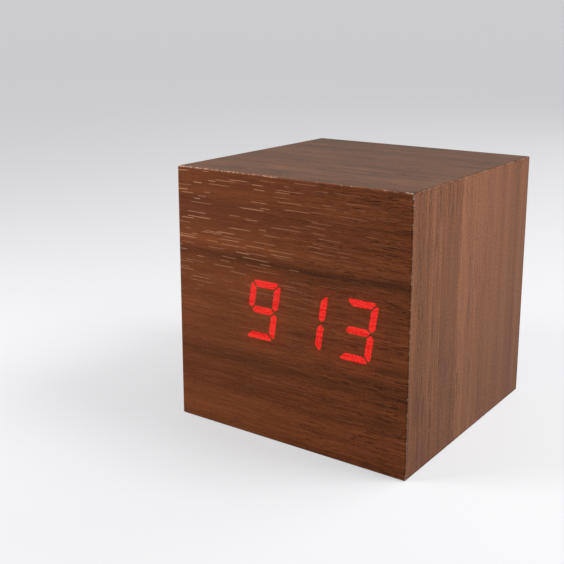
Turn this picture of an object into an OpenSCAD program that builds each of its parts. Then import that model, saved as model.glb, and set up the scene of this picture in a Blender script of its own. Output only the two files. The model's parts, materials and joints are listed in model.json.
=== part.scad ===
// LED desk clock: a veneered fibreboard cube whose four-digit display shines
// through the front veneer, with a moulded housing for the cells, the buttons
// and the power socket in its open back.
// Sizes are in millimetres. The origin is the centre of the base, the front
// faces -Y and +Z is up.

/* [Case] */
// Length of every outer edge of the cube
case_side = 63; // [56:0.5:76]
// Thickness of the front board; the other walls take what the works leave
front_t = 4.5; // [3.5:0.25:6]
// Thickness of the veneer on the four walls
veneer_t = 0.5; // [0.4:0.05:0.7]
// Thickness of the front veneer, thin enough to shine through
face_veneer_t = 0.4; // [0.3:0.05:0.6]
// Thickness of the veneer banding on the rear edges
banding_t = 0.5; // [0.4:0.05:0.8]
// Radius of the softened outer edges
edge_r = 0.35; // [0.15:0.05:0.4]
// Side of the square glue blocks in the rear corners
block_w = 6.5; // [5.5:0.25:8]
// Length of the glue blocks
block_l = 16; // [8:1:30]

/* [Display] */
// Digits shown, with an underscore where a digit is dark
shown = "_913"; // [_913, 1045, 0730, 1208]
// Height of a digit
digit_h = 14.2; // [12:0.1:16]
// Width of a digit
digit_w = 8.3; // [7:0.1:9]
// Distance from one digit to the next
digit_pitch = 12.7; // [11.5:0.05:14]
// Width of a segment
segment_w = 1.65; // [1.2:0.05:1.9]
// Gap between two segments
segment_gap = 0.36; // [0.25:0.02:0.5]
// Length clipped off the pointed outer corners of a segment
segment_clip = 0.4; // [0.2:0.05:0.5]
// Lean of the digits in degrees
digit_slant = 8.5; // [0:0.5:10]
// Diameter of a colon dot
colon_d = 1.6; // [1:0.1:2]
// Depth of the display block
display_d = 8; // [7.5:0.25:10]

/* [Boards] */
// Thickness of the circuit boards
pcb_t = 1.6; // [1:0.1:2]
// Height of the main circuit board
main_h = 38; // [37:0.5:44]
// Diameter of the buzzer
buzzer_d = 12; // [9:0.5:12.5]
// Height of the buzzer
buzzer_h = 9.5; // [5:0.5:12]
// Diameter of the backup coin cell
coin_d = 12.5; // [10:0.5:12.5]
// Thickness of the backup coin cell
coin_t = 2; // [1.6:0.1:2.5]

/* [Rear housing] */
// Depth of the rear panel behind the rear edges
panel_recess = 1.2; // [1.1:0.1:2]
// Thickness of the rear panel
panel_t = 2.4; // [2.2:0.1:3]
// Thickness of the walls of the battery bay
bay_wall = 1.2; // [1:0.1:1.4]
// Width of the ledge that the battery door lies on
ledge = 0.9; // [0.7:0.05:1.1]
// Thickness of the battery door
door_t = 1.8; // [1.7:0.1:2]
// Diameter of the pivot pins of the battery door
pivot_d = 1; // [0.8:0.05:1.1]

/* [Cells] */
// Diameter of a cell
cell_d = 10.5; // [8.3:0.1:12]
// Length of a cell with its positive nub
cell_l = 44.2; // [39:0.1:50]
// Thickness of the contact plates
plate_t = 0.3; // [0.2:0.05:0.4]
// Length of a contact spring when a cell presses on it
spring_l = 3; // [2.9:0.1:3.3]
// Diameter of the spring wire
spring_wire = 0.5; // [0.4:0.05:0.5]
// Turns of a contact spring
spring_turns = 2.5; // [2:0.5:2.5]

/* [Controls] */
// Diameter of a button
button_d = 5; // [4:0.1:5.4]
// Distance from one button to the next
button_pitch = 9.25; // [8.8:0.05:9.6]
// Height of a button above the rear panel
button_rise = 1; // [0.6:0.1:1]
// Travel of a button
button_travel = 0.3; // [0.2:0.05:0.5]
// Bore of the power socket
socket_d = 3.7; // [3.4:0.1:4]
// Depth of the power socket
socket_l = 9.5; // [8:0.5:10]
// Diameter of the centre pin in the power socket
socket_pin_d = 1.3; // [1:0.05:1.4]

/* [Hidden] */
$fn = 48;

// Clearances
panel_gap = 0.25;      // between the rear panel and the walls
window_gap = 0.3;      // between the display and the front board
well_gap = 0.03;       // between a segment and its well
door_gap = 0.2;        // between the battery door and its pocket
seat_gap = 0.1;        // between the battery door and its ledge
cell_gap = 0.4;        // between neighbouring cells, and between a cell and the door
cradle_gap = 0.2;      // between a cell and its cradle
jacket_gap = 0.05;     // between a cell's can and its jacket
block_gap = 0.3;       // between the battery bay and the glue blocks
pivot_gap = 0.05;      // radial, between a pivot pin and its bore
button_gap = 0.15;     // radial, between a button and its hole
plunger_gap = 0.1;     // radial, between a plunger and its switch
socket_gap = 0.2;      // between the power socket and its hole and clips
screw_gap = 0.1;       // radial, between a screw and its pilot hole

// Room for the works: the display and the battery bay side by side with their
// lands, and the bay between the glue blocks and the controls
digit_count = 4;
display_trim = 0.5;
display_margin = 2.4;
display_land = 1.35;
display_w = digit_count * digit_pitch - display_trim;
display_h = digit_h + 2 * display_margin;
cell_count = 3;
cell_pitch = cell_d + cell_gap;
bay_w = cell_l + spring_l + 2 * plate_t;
bay_h = cell_count * cell_pitch;
bay_land = 1.4;
control_room = 4.1;
boss_rise = 4.2;
boss_edge = 1.9;
control_land = 0.9;
control_h = control_room + boss_rise + boss_edge + control_land;
works_w = max(display_w + 2 * display_land, bay_w + 2 * (bay_wall + bay_land));
works_h = block_w + block_gap + 2 * bay_wall + bay_h + control_h;
room = max(works_w, works_h);

// Case
half = case_side / 2;
board_out = half - veneer_t;
board_in = room / 2;
board_t = board_out - board_in;
face_y = -half + face_veneer_t;
front_back_y = face_y + front_t;
wall_rear_y = half - banding_t;
edge_steps = 4;

// Display
substrate_t = 1.2;
led_w = 0.5;
led_t = 0.25;
led_room = 0.6;
colon_z = digit_h * 0.23;
pin_d = 0.6;
pin_pitch = 2.54;
pin_count = 6;
pin_row_z = 3 * pin_pitch;
pin_tail = 1.4;
substrate_y = face_y + display_d - substrate_t;
SEGMENTS = ["a", "b", "c", "d", "e", "f", "g"];
GLYPHS = ["abcdef", "bc", "abdeg", "abcdg", "bcfg", "acdfg", "acdefg", "abc", "abcdefg", "abcdfg"];

// Main circuit board
main_margin = 0.75;
main_w = 2 * (board_in - main_margin);
main_y = face_y + display_d;
main_back_y = main_y + pcb_t;
spacer_d = 5;
spacer_inset = 3.4;
small_screw_d = 1.9;
small_head_d = 3.8;
small_head_t = 1.3;
bite_share = 0.66;
small_screw_bite = bite_share * front_t;
pilot_spare = 0.3;
chip_w = 17.9;
chip_h = 7.5;
chip_t = 2.3;
chip_legs = 14;
chip_leg_pitch = 1.27;
chip_leg = [0.42, 1.4, 0.3];
crystal_w = 11;
crystal_h = 4.5;
crystal_t = 3.5;
sound_hole_d = 2;
capacitor_d = 6.3;
capacitor_h = 11;
coin_rim = 0.75;
coin_floor = 1;
header_w = 8;
header_h = 4;
header_t = 6;
ribbon_w = 7.6;
ribbon_t = 1;
ribbon_sag = 3;
ribbon_steps = 20;
lead_d = 1.2;
lead_steps = 16;
lead_sides = 6;
lead_reach = 12;
round_inset_x = 11;
round_inset_z = 8.5;
tall_inset_x = 10.5;
tall_inset_z = 7.5;
crystal_inset_z = 7;
pad_inset_z = 5;
side_pad_inset = 4.75;
side_pad_z = 3;
socket_pad_x = -1.5;
buzzer_at = [round_inset_x - main_w / 2, round_inset_z - main_h / 2];
coin_at = [main_w / 2 - round_inset_x, round_inset_z - main_h / 2];
capacitor_at = [tall_inset_x - main_w / 2, main_h / 2 - tall_inset_z];
crystal_at = [main_w / 2 - tall_inset_x, main_h / 2 - crystal_inset_z];
pad_z = main_h / 2 - pad_inset_z;

// Rear housing
panel_half = board_in - panel_gap;
panel_y1 = half - panel_recess;
panel_y0 = panel_y1 - panel_t;
bay_low = -board_in + block_w + block_gap + bay_wall;
bay_mid = bay_low + bay_h / 2;
bay_top = bay_low + bay_h;
pocket_w = bay_w + 2 * ledge;
pocket_h = bay_h + 2 * ledge;
pocket_low = bay_mid - pocket_h / 2;
pocket_top = bay_mid + pocket_h / 2;
ledge_y = panel_y1 - door_t - seat_gap;
cell_y = panel_y1 - door_t - cell_gap - cell_d / 2;
floor_y1 = cell_y - cell_d / 2 - cell_gap;
floor_y0 = floor_y1 - bay_wall;
cradle_h = 3;
cradle_t = 2;
cradle_x = 13;
big_screw_d = 2.2;
big_screw_l = 9;
big_head_d = 4.2;
big_head_t = 1.2;
head_gap = 0.3;
cross_w = 0.6;
cross_share = 0.6;
block_mid = board_in - block_w / 2;

// Battery door
door_w = pocket_w - 2 * door_gap;
door_top = pocket_top - door_gap;
pivot_y = panel_y1 - door_t / 2;
pivot_z = pocket_low + door_t / 2 + pivot_gap;
pivot_l = 1;
rib_t = 1;
rib_h = 1.4;
rib_inset = 6;
tongue_w = 12;
tongue_l = 8;
tongue_rise = 0.5;
slit_w = 0.8;
grip_count = 4;
grip_pitch = 1.5;
grip_t = 0.7;
grip_h = 0.3;
thumb_h = 1;

// Cells and contacts
nub_d = 3.8;
nub_h = 1;
jacket_t = 0.15;
jacket_lip = 0.6;
contact_w = 9;
tail_w = 2;
tail_l = 2.5;
tail_gap = 0.3;
spring_base_r = 3.5;
spring_tip_r = 2;
spring_rings = 8;
spring_sides = 6;

// Controls
button_z = bay_top + bay_wall + control_room;
button_inset = 6;
button_right = board_in - block_w - button_inset;
button_xs = [for (k = [2:-1:0]) button_right - k * button_pitch];
flange_grow = 0.8;
flange_t = 0.9;
dome_h = 0.35;
collar_w = 0.55;
collar_h = 0.3;
plunger_d = 3.3;
plunger_rise = 0.9;
plunger_root = 1;
switch_w = 6;
switch_t = 3.4;
switch_y1 = panel_y0 - flange_t - plunger_rise;
button_board_y1 = switch_y1 - switch_t;
button_board_y0 = button_board_y1 - pcb_t;
board_edge = 4.3;
board_foot = 3.5;
boss_d = 3.4;
boss_xs = [(button_xs[0] + button_xs[1]) / 2, (button_xs[1] + button_xs[2]) / 2];
socket_inset = 5.5;
socket_x = -(board_in - block_w - socket_inset);
socket_w = 7;
socket_back = 1.5;
socket_wall = 0.95;
socket_pin_inset = 1.5;
clip_t = 1;
clip_l = 5;
socket_mouth_y = panel_y1 - seat_gap;
socket_floor_y = socket_mouth_y - socket_l;
socket_end_y = socket_floor_y - socket_back;

// Extrudes a drawing of the XZ plane from y0 to y1
module along_y(y0, y1) {
    translate([0, y1, 0]) rotate([90, 0, 0]) linear_extrude(height = y1 - y0) children();
}

// Extrudes a drawing of the YZ plane from x0 to x1
module along_x(x0, x1) {
    translate([x0, 0, 0]) rotate([90, 0, 90]) linear_extrude(height = x1 - x0) children();
}

// A round bar along Y
module bar_y(d, y0, y1, x = 0, z = 0) {
    translate([x, y1, z]) rotate([90, 0, 0]) cylinder(h = y1 - y0, d = d);
}

// A rectangular block along Y
module block_y(w, h, y0, y1, x = 0, z = 0) {
    translate([x - w / 2, y0, z - h / 2]) cube([w, y1 - y0, h]);
}

// A profile of radius and height, turned about a line along Y that starts at y
module turned_y(y, x, z) {
    translate([x, y, z]) rotate([-90, 0, 0]) rotate_extrude() children();
}

// Puts a piece at each corner of a rectangle of the XZ plane
module at_corners(x, z) {
    for (sx = [-1, 1], sz = [-1, 1]) translate([sx * x, 0, sz * z]) children();
}

// A cross-recessed screw whose head sits on y, with its shank along +Y
module cross_screw(y, shank_d, shank_l, head_d, head_t) {
    difference() {
        union() {
            bar_y(head_d, y - head_t, y);
            bar_y(shank_d, y - head_t / 2, y + shank_l);
        }
        for (turn = [0, 90]) rotate([0, turn, 0])
            block_y(head_d * cross_share, cross_w, y - head_t, y - head_t / 2);
    }
}

// Unit vector, and the direction of a path at one of its points
function unit(v) = v / norm(v);
function heading(path, i) = unit(path[min(i + 1, len(path) - 1)] - path[max(i - 1, 0)]);

// One ring of a tube, square to its path and turned towards the vector aside
function ring(path, i, aside, r, sides) =
    let (t = heading(path, i), u = unit(aside - (aside * t) * t), v = cross(t, u))
    [for (k = [0:sides - 1]) path[i] + r * (cos(360 * k / sides) * u + sin(360 * k / sides) * v)];

// A closed tube along a path, with one vector aside for each point
module tube(path, asides, r, sides) {
    last = (len(path) - 1) * sides;
    points = [for (i = [0:len(path) - 1]) each ring(path, i, asides[i], r, sides)];
    walls = [for (i = [0:len(path) - 2], k = [0:sides - 1])
        let (a = i * sides + k, b = i * sides + (k + 1) % sides)
        each [[a, a + sides, b], [b, a + sides, b + sides]]];
    caps = [for (k = [1:sides - 2]) each [[0, k, k + 1], [last, last + k + 1, last + k]]];
    polyhedron(points = points, faces = concat(walls, caps));
}

// Case
// Points of a quarter arc, and of a square with rounded corners
function quarter(x, y, r, start) = [for (i = [0:edge_steps])
    let (angle = start + 90 * i / edge_steps)
    [x, y] + r * [cos(angle), sin(angle)]];
function soft_square(side, r) =
    let (c = side / 2 - r)
    concat(quarter(c, c, r, 0), quarter(-c, c, r, 90), quarter(-c, -c, r, 180), quarter(c, -c, r, 270));

// The outer form of the cube, which softens the edges of every veneer
module soft_cube() {
    intersection() {
        along_y(-half, half) polygon(soft_square(case_side, edge_r));
        along_x(-half, half) polygon(soft_square(case_side, edge_r));
        translate([0, 0, -half]) linear_extrude(height = case_side) polygon(soft_square(case_side, edge_r));
    }
}

// Turns a wall that is drawn at the top to one of the four sides
SIDES = ["top", "right", "bottom", "left"];
module wall_at(side) {
    rotate([0, 90 * search([side], SIDES)[0], 0]) children();
}

// Section of a mitred wall, whose outside is outer away from the middle
module mitred_section(outer, t) {
    polygon([[-outer, outer], [outer, outer], [outer - t, outer - t], [t - outer, outer - t]]);
}

// A fibreboard wall, mitred to its neighbours and to the front board
module board(side) {
    color("burlywood") wall_at(side) intersection() {
        along_y(face_y, wall_rear_y) mitred_section(board_out, board_t);
        along_x(-half, half) polygon([
            [face_y, board_out], [wall_rear_y, board_out], [wall_rear_y, board_in], [front_back_y, board_in]
        ]);
    }
}

module front_board() {
    section = [
        [face_y, -board_out], [face_y, board_out], [front_back_y, board_in], [front_back_y, -board_in]
    ];
    pilot_y = front_back_y - small_screw_bite - pilot_spare;
    color("burlywood") difference() {
        intersection() {
            along_x(-half, half) polygon(section);
            translate([0, 0, -half]) linear_extrude(height = case_side)
                polygon([for (p = section) [p[1], p[0]]]);
        }
        block_y(display_w + 2 * window_gap, display_h + 2 * window_gap, -half, half);
        at_spacers() bar_y(small_screw_d + 2 * screw_gap, pilot_y, front_back_y + front_t);
    }
}

module corner_blocks() {
    color("tan") at_corners(block_mid, block_mid) difference() {
        block_y(block_w, block_w, panel_y0 - block_l, panel_y0);
        bar_y(big_screw_d + 2 * screw_gap, panel_y1 - big_head_t - big_screw_l - pilot_spare, panel_y1);
    }
}

// A sheet of veneer on one of the four walls
module veneer(side) {
    color("sienna") intersection() {
        wall_at(side) along_y(face_y, wall_rear_y) mitred_section(half, veneer_t);
        soft_cube();
    }
}

module front_veneer() {
    color("saddlebrown") intersection() {
        block_y(case_side, case_side, -half, face_y);
        soft_cube();
    }
}

// A strip of veneer that covers the rear edge of a wall
module banding(side) {
    color("sienna") intersection() {
        wall_at(side) along_y(wall_rear_y, half) mitred_section(half, half - board_in);
        soft_cube();
    }
}

// Display
// Outlines of the top, upper right and middle bars of a digit, grown on every side
function top_bar(grow) =
    let (w = digit_w / 2 + grow, h = digit_h / 2 + grow, t = segment_w + 2 * grow)
    let (m = (segment_gap - 2 * grow) / sqrt(2), c = segment_clip)
    [[m + 2 * c - w, h], [w - m - 2 * c, h], [w - m - c, h - c],
     [w - m - t, h - t], [m + t - w, h - t], [m + c - w, h - c]];
function upright_bar(grow) =
    let (w = digit_w / 2 + grow, h = digit_h / 2 + grow, t = segment_w + 2 * grow)
    let (m = (segment_gap - 2 * grow) / sqrt(2), c = segment_clip)
    [[w, h - m - 2 * c], [w, m + t / 2], [w - t / 2, m],
     [w - t, m + t / 2], [w - t, h - m - t], [w - c, h - m - c]];
function middle_bar(grow) =
    let (w = digit_w / 2 + grow, t = segment_w + 2 * grow, m = (segment_gap - 2 * grow) / sqrt(2))
    let (tip = w - t / 2 - m, shoulder = w - t - m)
    [[-tip, 0], [-shoulder, t / 2], [shoulder, t / 2], [tip, 0], [shoulder, -t / 2], [-shoulder, -t / 2]];

// The seven segments are those bars and their mirror images, leaning to the right
function mirrored(points, sx, sy) = [for (p = points) [sx * p[0], sy * p[1]]];
function leaning(points) = [for (p = points) [p[0] + p[1] * tan(digit_slant), p[1]]];
function segment(name, grow = 0) = leaning(
    name == "a" ? top_bar(grow) :
    name == "b" ? upright_bar(grow) :
    name == "c" ? mirrored(upright_bar(grow), 1, -1) :
    name == "d" ? mirrored(top_bar(grow), 1, -1) :
    name == "e" ? mirrored(upright_bar(grow), -1, -1) :
    name == "f" ? mirrored(upright_bar(grow), -1, 1) : middle_bar(grow));
function middle_of(points) = [for (axis = [0, 1])
    let (places = [for (p = points) p[axis]])
    (max(places) + min(places)) / 2];
function digit_x(place) = (place - (digit_count - 1) / 2) * digit_pitch;
function glyph(place) = shown[place] == "_" ? "" : GLYPHS[ord(shown[place]) - ord("0")];
function is_lit(place, name) = len(search(name, glyph(place))) > 0;

// Puts a piece at each colon dot
module at_colon() {
    for (side = [-1, 1]) translate([side * colon_z * tan(digit_slant), 0, side * colon_z]) children();
}

// The moulded block with a light well behind every segment
module display_reflector() {
    color("gainsboro") difference() {
        block_y(display_w, display_h, face_y, substrate_y);
        for (place = [0:digit_count - 1], name = SEGMENTS) translate([digit_x(place), 0, 0])
            along_y(face_y - well_gap, substrate_y + well_gap) polygon(segment(name, well_gap));
        at_colon() bar_y(colon_d + 2 * well_gap, face_y - well_gap, substrate_y + well_gap);
    }
}

// The resin that fills the wells of the segments that are lit, or of those that aren't
module segments(lit) {
    for (place = [0:digit_count - 1], name = SEGMENTS)
        if (is_lit(place, name) == lit) translate([digit_x(place), 0, 0])
            along_y(face_y, substrate_y - led_room) polygon(segment(name));
}

module lit_segments() {
    color("red") segments(true);
}

module dark_segments() {
    color("dimgray") {
        segments(false);
        at_colon() bar_y(colon_d, face_y, substrate_y - led_room);
    }
}

module display_substrate() {
    color("darkgreen") block_y(display_w, display_h, substrate_y, main_y);
}

module led_chips() {
    color("gold") {
        for (place = [0:digit_count - 1], name = SEGMENTS) {
            at = middle_of(segment(name));
            block_y(led_w, led_w, substrate_y - led_t, substrate_y, digit_x(place) + at[0], at[1]);
        }
        at_colon() block_y(led_w, led_w, substrate_y - led_t, substrate_y);
    }
}

// Puts a piece at each pin of the display
module at_pins() {
    for (k = [0:pin_count - 1], side = [-1, 1])
        translate([(k - (pin_count - 1) / 2) * pin_pitch, 0, side * pin_row_z]) children();
}

module display_pins() {
    color("silver") at_pins() bar_y(pin_d, main_y, main_back_y + pin_tail);
}

// Main circuit board and what is on it
module at_spacers() {
    at_corners(main_w / 2 - spacer_inset, main_h / 2 - spacer_inset) children();
}

module main_board() {
    color("seagreen") difference() {
        block_y(main_w, main_h, main_y, main_back_y);
        at_pins() bar_y(pin_d + 2 * panel_gap, main_y - pcb_t, main_back_y + pcb_t);
        at_spacers() bar_y(small_screw_d + 2 * screw_gap, main_y - pcb_t, main_back_y + pcb_t);
    }
}

module board_spacers() {
    color("white") at_spacers() difference() {
        bar_y(spacer_d, front_back_y, main_y);
        bar_y(small_screw_d + 2 * screw_gap, front_back_y - pcb_t, main_y + pcb_t);
    }
}

module board_screws() {
    shank = pcb_t + main_y - front_back_y + small_screw_bite;
    color("silver") at_spacers() translate([0, main_back_y, 0]) rotate([0, 0, 180])
        cross_screw(0, small_screw_d, shank, small_head_d, small_head_t);
}

module controller_chip() {
    color("black") {
        block_y(chip_w, chip_h, main_back_y + chip_leg[2] / 2, main_back_y + chip_t);
        for (k = [0:chip_legs - 1], side = [-1, 1])
            block_y(chip_leg[0], chip_leg[1], main_back_y, main_back_y + chip_leg[2],
                (k - (chip_legs - 1) / 2) * chip_leg_pitch, side * (chip_h + chip_leg[1] / 2) / 2);
    }
}

module quartz_crystal() {
    run = crystal_w - crystal_h;
    color("silver") translate([crystal_at[0], 0, crystal_at[1]]) {
        block_y(run, crystal_h, main_back_y, main_back_y + crystal_t);
        for (side = [-1, 1]) bar_y(crystal_h, main_back_y, main_back_y + crystal_t, side * run / 2);
    }
}

module buzzer() {
    color("black") translate([buzzer_at[0], 0, buzzer_at[1]]) difference() {
        bar_y(buzzer_d, main_back_y, main_back_y + buzzer_h);
        bar_y(sound_hole_d, main_back_y + buzzer_h / 2, main_back_y + 2 * buzzer_h);
    }
}

module smoothing_capacitor() {
    color("navy")
        bar_y(capacitor_d, main_back_y, main_back_y + capacitor_h, capacitor_at[0], capacitor_at[1]);
}

module coin_cell_holder() {
    color("dimgray") translate([coin_at[0], 0, coin_at[1]]) difference() {
        bar_y(coin_d + 2 * coin_rim, main_back_y, main_back_y + coin_floor + coin_t);
        bar_y(coin_d + 2 * jacket_gap, main_back_y + coin_floor, main_back_y + coin_floor + 2 * coin_t);
    }
}

module coin_cell() {
    color("silver")
        bar_y(coin_d, main_back_y + coin_floor, main_back_y + coin_floor + coin_t, coin_at[0], coin_at[1]);
}

// The ribbon runs in one plane from the button board to the main board
ribbon_x = button_xs[1];
ribbon_rear_y = button_board_y0 - header_t;
ribbon_front_y = main_back_y + header_t;
ribbon_front_z = pad_z;

module ribbon_headers() {
    color("ivory") {
        block_y(header_w, header_h, main_back_y, ribbon_front_y, ribbon_x, ribbon_front_z);
        block_y(header_w, header_h, ribbon_rear_y, button_board_y0, ribbon_x, button_z);
    }
}

function ribbon_point(s, side) = [
    ribbon_front_y + s * (ribbon_rear_y - ribbon_front_y),
    ribbon_front_z + (1 - cos(180 * s)) / 2 * (button_z - ribbon_front_z)
        - ribbon_sag * pow(sin(180 * s), 2) + side * ribbon_t / 2
];

module ribbon_cable() {
    shares = [for (i = [0:ribbon_steps]) i / ribbon_steps];
    color("lightgray") along_x(ribbon_x - ribbon_w / 2, ribbon_x + ribbon_w / 2)
        polygon(concat([for (s = shares) ribbon_point(s, -1)], [for (s = shares) ribbon_point(1 - s, 1)]));
}

// A lead from a point of the rear housing to a pad of the main board, which leaves
// both along Y, straight for its own diameter, and bends between them
module lead(from, pad) {
    to = [pad[0], main_back_y, pad[1]];
    straight = [0, lead_d, 0];
    reach = [0, lead_reach, 0];
    a = from - straight;
    d = to + straight;
    bend = [for (i = [0:lead_steps])
        let (s = i / lead_steps, q = 1 - s)
        q * q * q * a + 3 * q * q * s * (a - reach) + 3 * q * s * s * (d + reach) + s * s * s * d];
    path = concat([from], bend, [to]);
    tube(path, [for (p = path) [0, 0, 1]], lead_d / 2, lead_sides);
}

// Battery housing
// Height of a cell in the bay, counted from the lowest
function cell_z(k) = bay_low + (k + 0.5) * cell_pitch;
// Cells lie head to tail: 1 where the positive nub points to the right, -1 to the left
function cell_way(k) = k % 2 == 0 ? 1 : -1;

module at_buttons() {
    for (x = button_xs) translate([x, 0, button_z]) children();
}

module at_bosses() {
    for (x = boss_xs) translate([x, 0, button_z + boss_rise]) children();
}

// Puts a piece at the tail of the negative or positive contact
tail_x = bay_w / 2 - plate_t / 2;
tail_y = floor_y0 - tail_l;
module at_tails() {
    translate([-tail_x, 0, cell_z(cell_count - 1)]) children();
    translate([tail_x, 0, cell_z(0)]) children();
}

// The ribs on the floor of the bay that cradle the cells
module cradles() {
    difference() {
        for (side = [-1, 1])
            block_y(cradle_t, bay_h, floor_y1, floor_y1 + cradle_h, side * cradle_x, bay_mid);
        for (k = [0:cell_count - 1]) translate([-bay_w / 2, cell_y, cell_z(k)]) rotate([0, 90, 0])
            cylinder(h = bay_w, d = cell_d + 2 * cradle_gap);
    }
}

// The two clips that hold the power socket against the panel
module socket_clips() {
    offset_x = (socket_w + clip_t) / 2 + socket_gap;
    for (side = [-1, 1])
        block_y(clip_t, socket_w, panel_y0 - clip_l, panel_y0, socket_x + side * offset_x, button_z);
}

module rear_housing() {
    color("#202224") {
        difference() {
            union() {
                block_y(2 * panel_half, 2 * panel_half, panel_y0, panel_y1);
                block_y(bay_w + 2 * bay_wall, bay_h + 2 * bay_wall, floor_y0, panel_y0, 0, bay_mid);
                at_bosses() bar_y(boss_d, button_board_y1, panel_y0);
                at_buttons() bar_y(button_d + 2 * button_gap + 2 * collar_w, panel_y0, panel_y1 + collar_h);
                socket_clips();
            }
            block_y(pocket_w, pocket_h, ledge_y, half, 0, bay_mid);
            block_y(bay_w, bay_h, floor_y1, half, 0, bay_mid);
            block_y(tongue_w + 2 * slit_w, 2 * thumb_h, ledge_y, half, 0, pocket_top);
            translate([-pocket_w / 2 - pivot_l - door_gap, pivot_y, pivot_z]) rotate([0, 90, 0])
                cylinder(h = pocket_w + 2 * (pivot_l + door_gap), d = pivot_d + 2 * pivot_gap);
            at_buttons() bar_y(button_d + 2 * button_gap, panel_y0 - panel_t, half);
            bar_y(2 * socket_wall + socket_d + 2 * socket_gap, panel_y0 - panel_t, half, socket_x, button_z);
            at_bosses() bar_y(small_screw_d + 2 * screw_gap, button_board_y1 - pcb_t, panel_y0);
            at_corners(block_mid, block_mid) {
                bar_y(big_screw_d + 2 * screw_gap, panel_y0 - panel_t, half);
                bar_y(big_head_d + 2 * head_gap, panel_y1 - big_head_t, half);
            }
            at_tails() block_y(plate_t + 2 * tail_gap, tail_w + 2 * tail_gap,
                floor_y0 - bay_wall, floor_y1 + bay_wall);
        }
        cradles();
    }
}

module housing_screws() {
    color("silver") at_corners(block_mid, block_mid)
        translate([0, panel_y1 - big_head_t, 0]) rotate([0, 0, 180])
            cross_screw(0, big_screw_d, big_screw_l, big_head_d, big_head_t);
}

// The door turns on two pins at its rounded lower edge and is held by the tongue at its top
module battery_door() {
    door_y0 = panel_y1 - door_t;
    color("#26282a") difference() {
        union() {
            translate([-door_w / 2, door_y0, pivot_z]) cube([door_w, door_t, door_top - pivot_z]);
            translate([-door_w / 2, pivot_y, pivot_z]) rotate([0, 90, 0]) cylinder(h = door_w, d = door_t);
            translate([-door_w / 2 - pivot_l, pivot_y, pivot_z]) rotate([0, 90, 0])
                cylinder(h = door_w + 2 * pivot_l, d = pivot_d);
            block_y(tongue_w, 2 * tongue_rise, door_y0, panel_y1, 0, door_top);
            for (k = [1:cell_count - 1])
                block_y(door_w - 2 * rib_inset, rib_t, door_y0 - rib_h, door_y0 + rib_t,
                    0, cell_z(k) - cell_pitch / 2);
            for (k = [0:grip_count - 1])
                block_y(tongue_w - 2 * slit_w, grip_t, panel_y1 - grip_t, panel_y1 + grip_h,
                    0, door_top - grip_pitch * (k + 0.5));
        }
        for (side = [-1, 1]) translate([side * (tongue_w + slit_w) / 2, 0, 0])
            block_y(slit_w, 2 * tongue_l, door_y0 - door_t, half, 0, door_top);
    }
}

// A cell lies along X, its nub to the way given
module cell_can(k) {
    can_d = cell_d - 2 * (jacket_t + jacket_gap);
    can_start = -bay_w / 2 + plate_t + spring_l;
    mirror([cell_way(k) > 0 ? 0 : 1, 0, 0]) translate([can_start, cell_y, cell_z(k)]) rotate([0, 90, 0]) {
        cylinder(h = cell_l - nub_h, d = can_d);
        cylinder(h = cell_l, d = nub_d);
    }
}

module battery_cells() {
    color("silver") for (k = [0:cell_count - 1]) cell_can(k);
}

module cell_jackets() {
    jacket_l = cell_l - nub_h - 2 * jacket_lip;
    color("#3c4a3e") for (k = [0:cell_count - 1])
        mirror([cell_way(k) > 0 ? 0 : 1, 0, 0])
            translate([-bay_w / 2 + plate_t + spring_l + jacket_lip, cell_y, cell_z(k)]) rotate([0, 90, 0])
                difference() {
                    cylinder(h = jacket_l, d = cell_d);
                    translate([0, 0, -jacket_l]) cylinder(h = 3 * jacket_l, d = cell_d - 2 * jacket_t);
                }
}

// A contact plate against the left (-1) or right (1) end of the bay, over one cell or two
module contact(side, low, high, tail) {
    middle = (cell_z(low) + cell_z(high)) / 2;
    color("lightsteelblue") translate([side * tail_x, 0, 0]) {
        block_y(plate_t, cell_z(high) - cell_z(low) + contact_w, floor_y1, cell_y + contact_w / 2, 0, middle);
        if (tail) block_y(plate_t, tail_w, tail_y, floor_y1 + tail_w, 0, middle);
    }
}

module negative_contact() {
    contact(-1, cell_count - 1, cell_count - 1, true);
}

module positive_contact() {
    contact(1, 0, 0, true);
}

module left_link_contact() {
    contact(-1, 0, 1, false);
}

module right_link_contact() {
    contact(1, 1, 2, false);
}

// A conical contact spring along X: the wire leaves the plate square to it, winds in
// and meets the cell square to it
function spring_radial(turn) = [0, cos(360 * turn), sin(360 * turn)];
spring_shares = [for (i = [0:spring_rings * spring_turns]) i / (spring_rings * spring_turns)];
spring_run = spring_l - 2 * spring_wire;
function spring_point(s, x) = [x, 0, 0]
    + (spring_base_r + s * (spring_tip_r - spring_base_r)) * spring_radial(s * spring_turns);
spring_path = concat([spring_point(0, 0)],
    [for (s = spring_shares) spring_point(s, spring_wire + s * spring_run)], [spring_point(1, spring_l)]);
spring_asides = concat([spring_radial(0)], [for (s = spring_shares) spring_radial(s * spring_turns)],
    [spring_radial(spring_turns)]);

// Least gap between turns, taken between points at least half a turn apart
spring_clear = min([for (i = [0:len(spring_path) - 1], k = [0:len(spring_path) - 1])
    if (k - i >= spring_rings / 2) norm(spring_path[i] - spring_path[k])]) - spring_wire;
echo(least_gap_between_spring_turns = spring_clear);

module contact_springs() {
    color("silver") for (k = [0:cell_count - 1])
        mirror([cell_way(k) > 0 ? 0 : 1, 0, 0]) translate([-bay_w / 2 + plate_t, cell_y, cell_z(k)])
            tube(spring_path, spring_asides, spring_wire / 2, spring_sides);
}

// Leads
module battery_lead_red() {
    color("red") lead([tail_x, tail_y, cell_z(0)], [main_w / 2 - side_pad_inset, side_pad_z]);
}

module battery_lead_black() {
    color("black") lead([-tail_x, tail_y, cell_z(cell_count - 1)],
        [side_pad_inset - main_w / 2, side_pad_z]);
}

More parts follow.
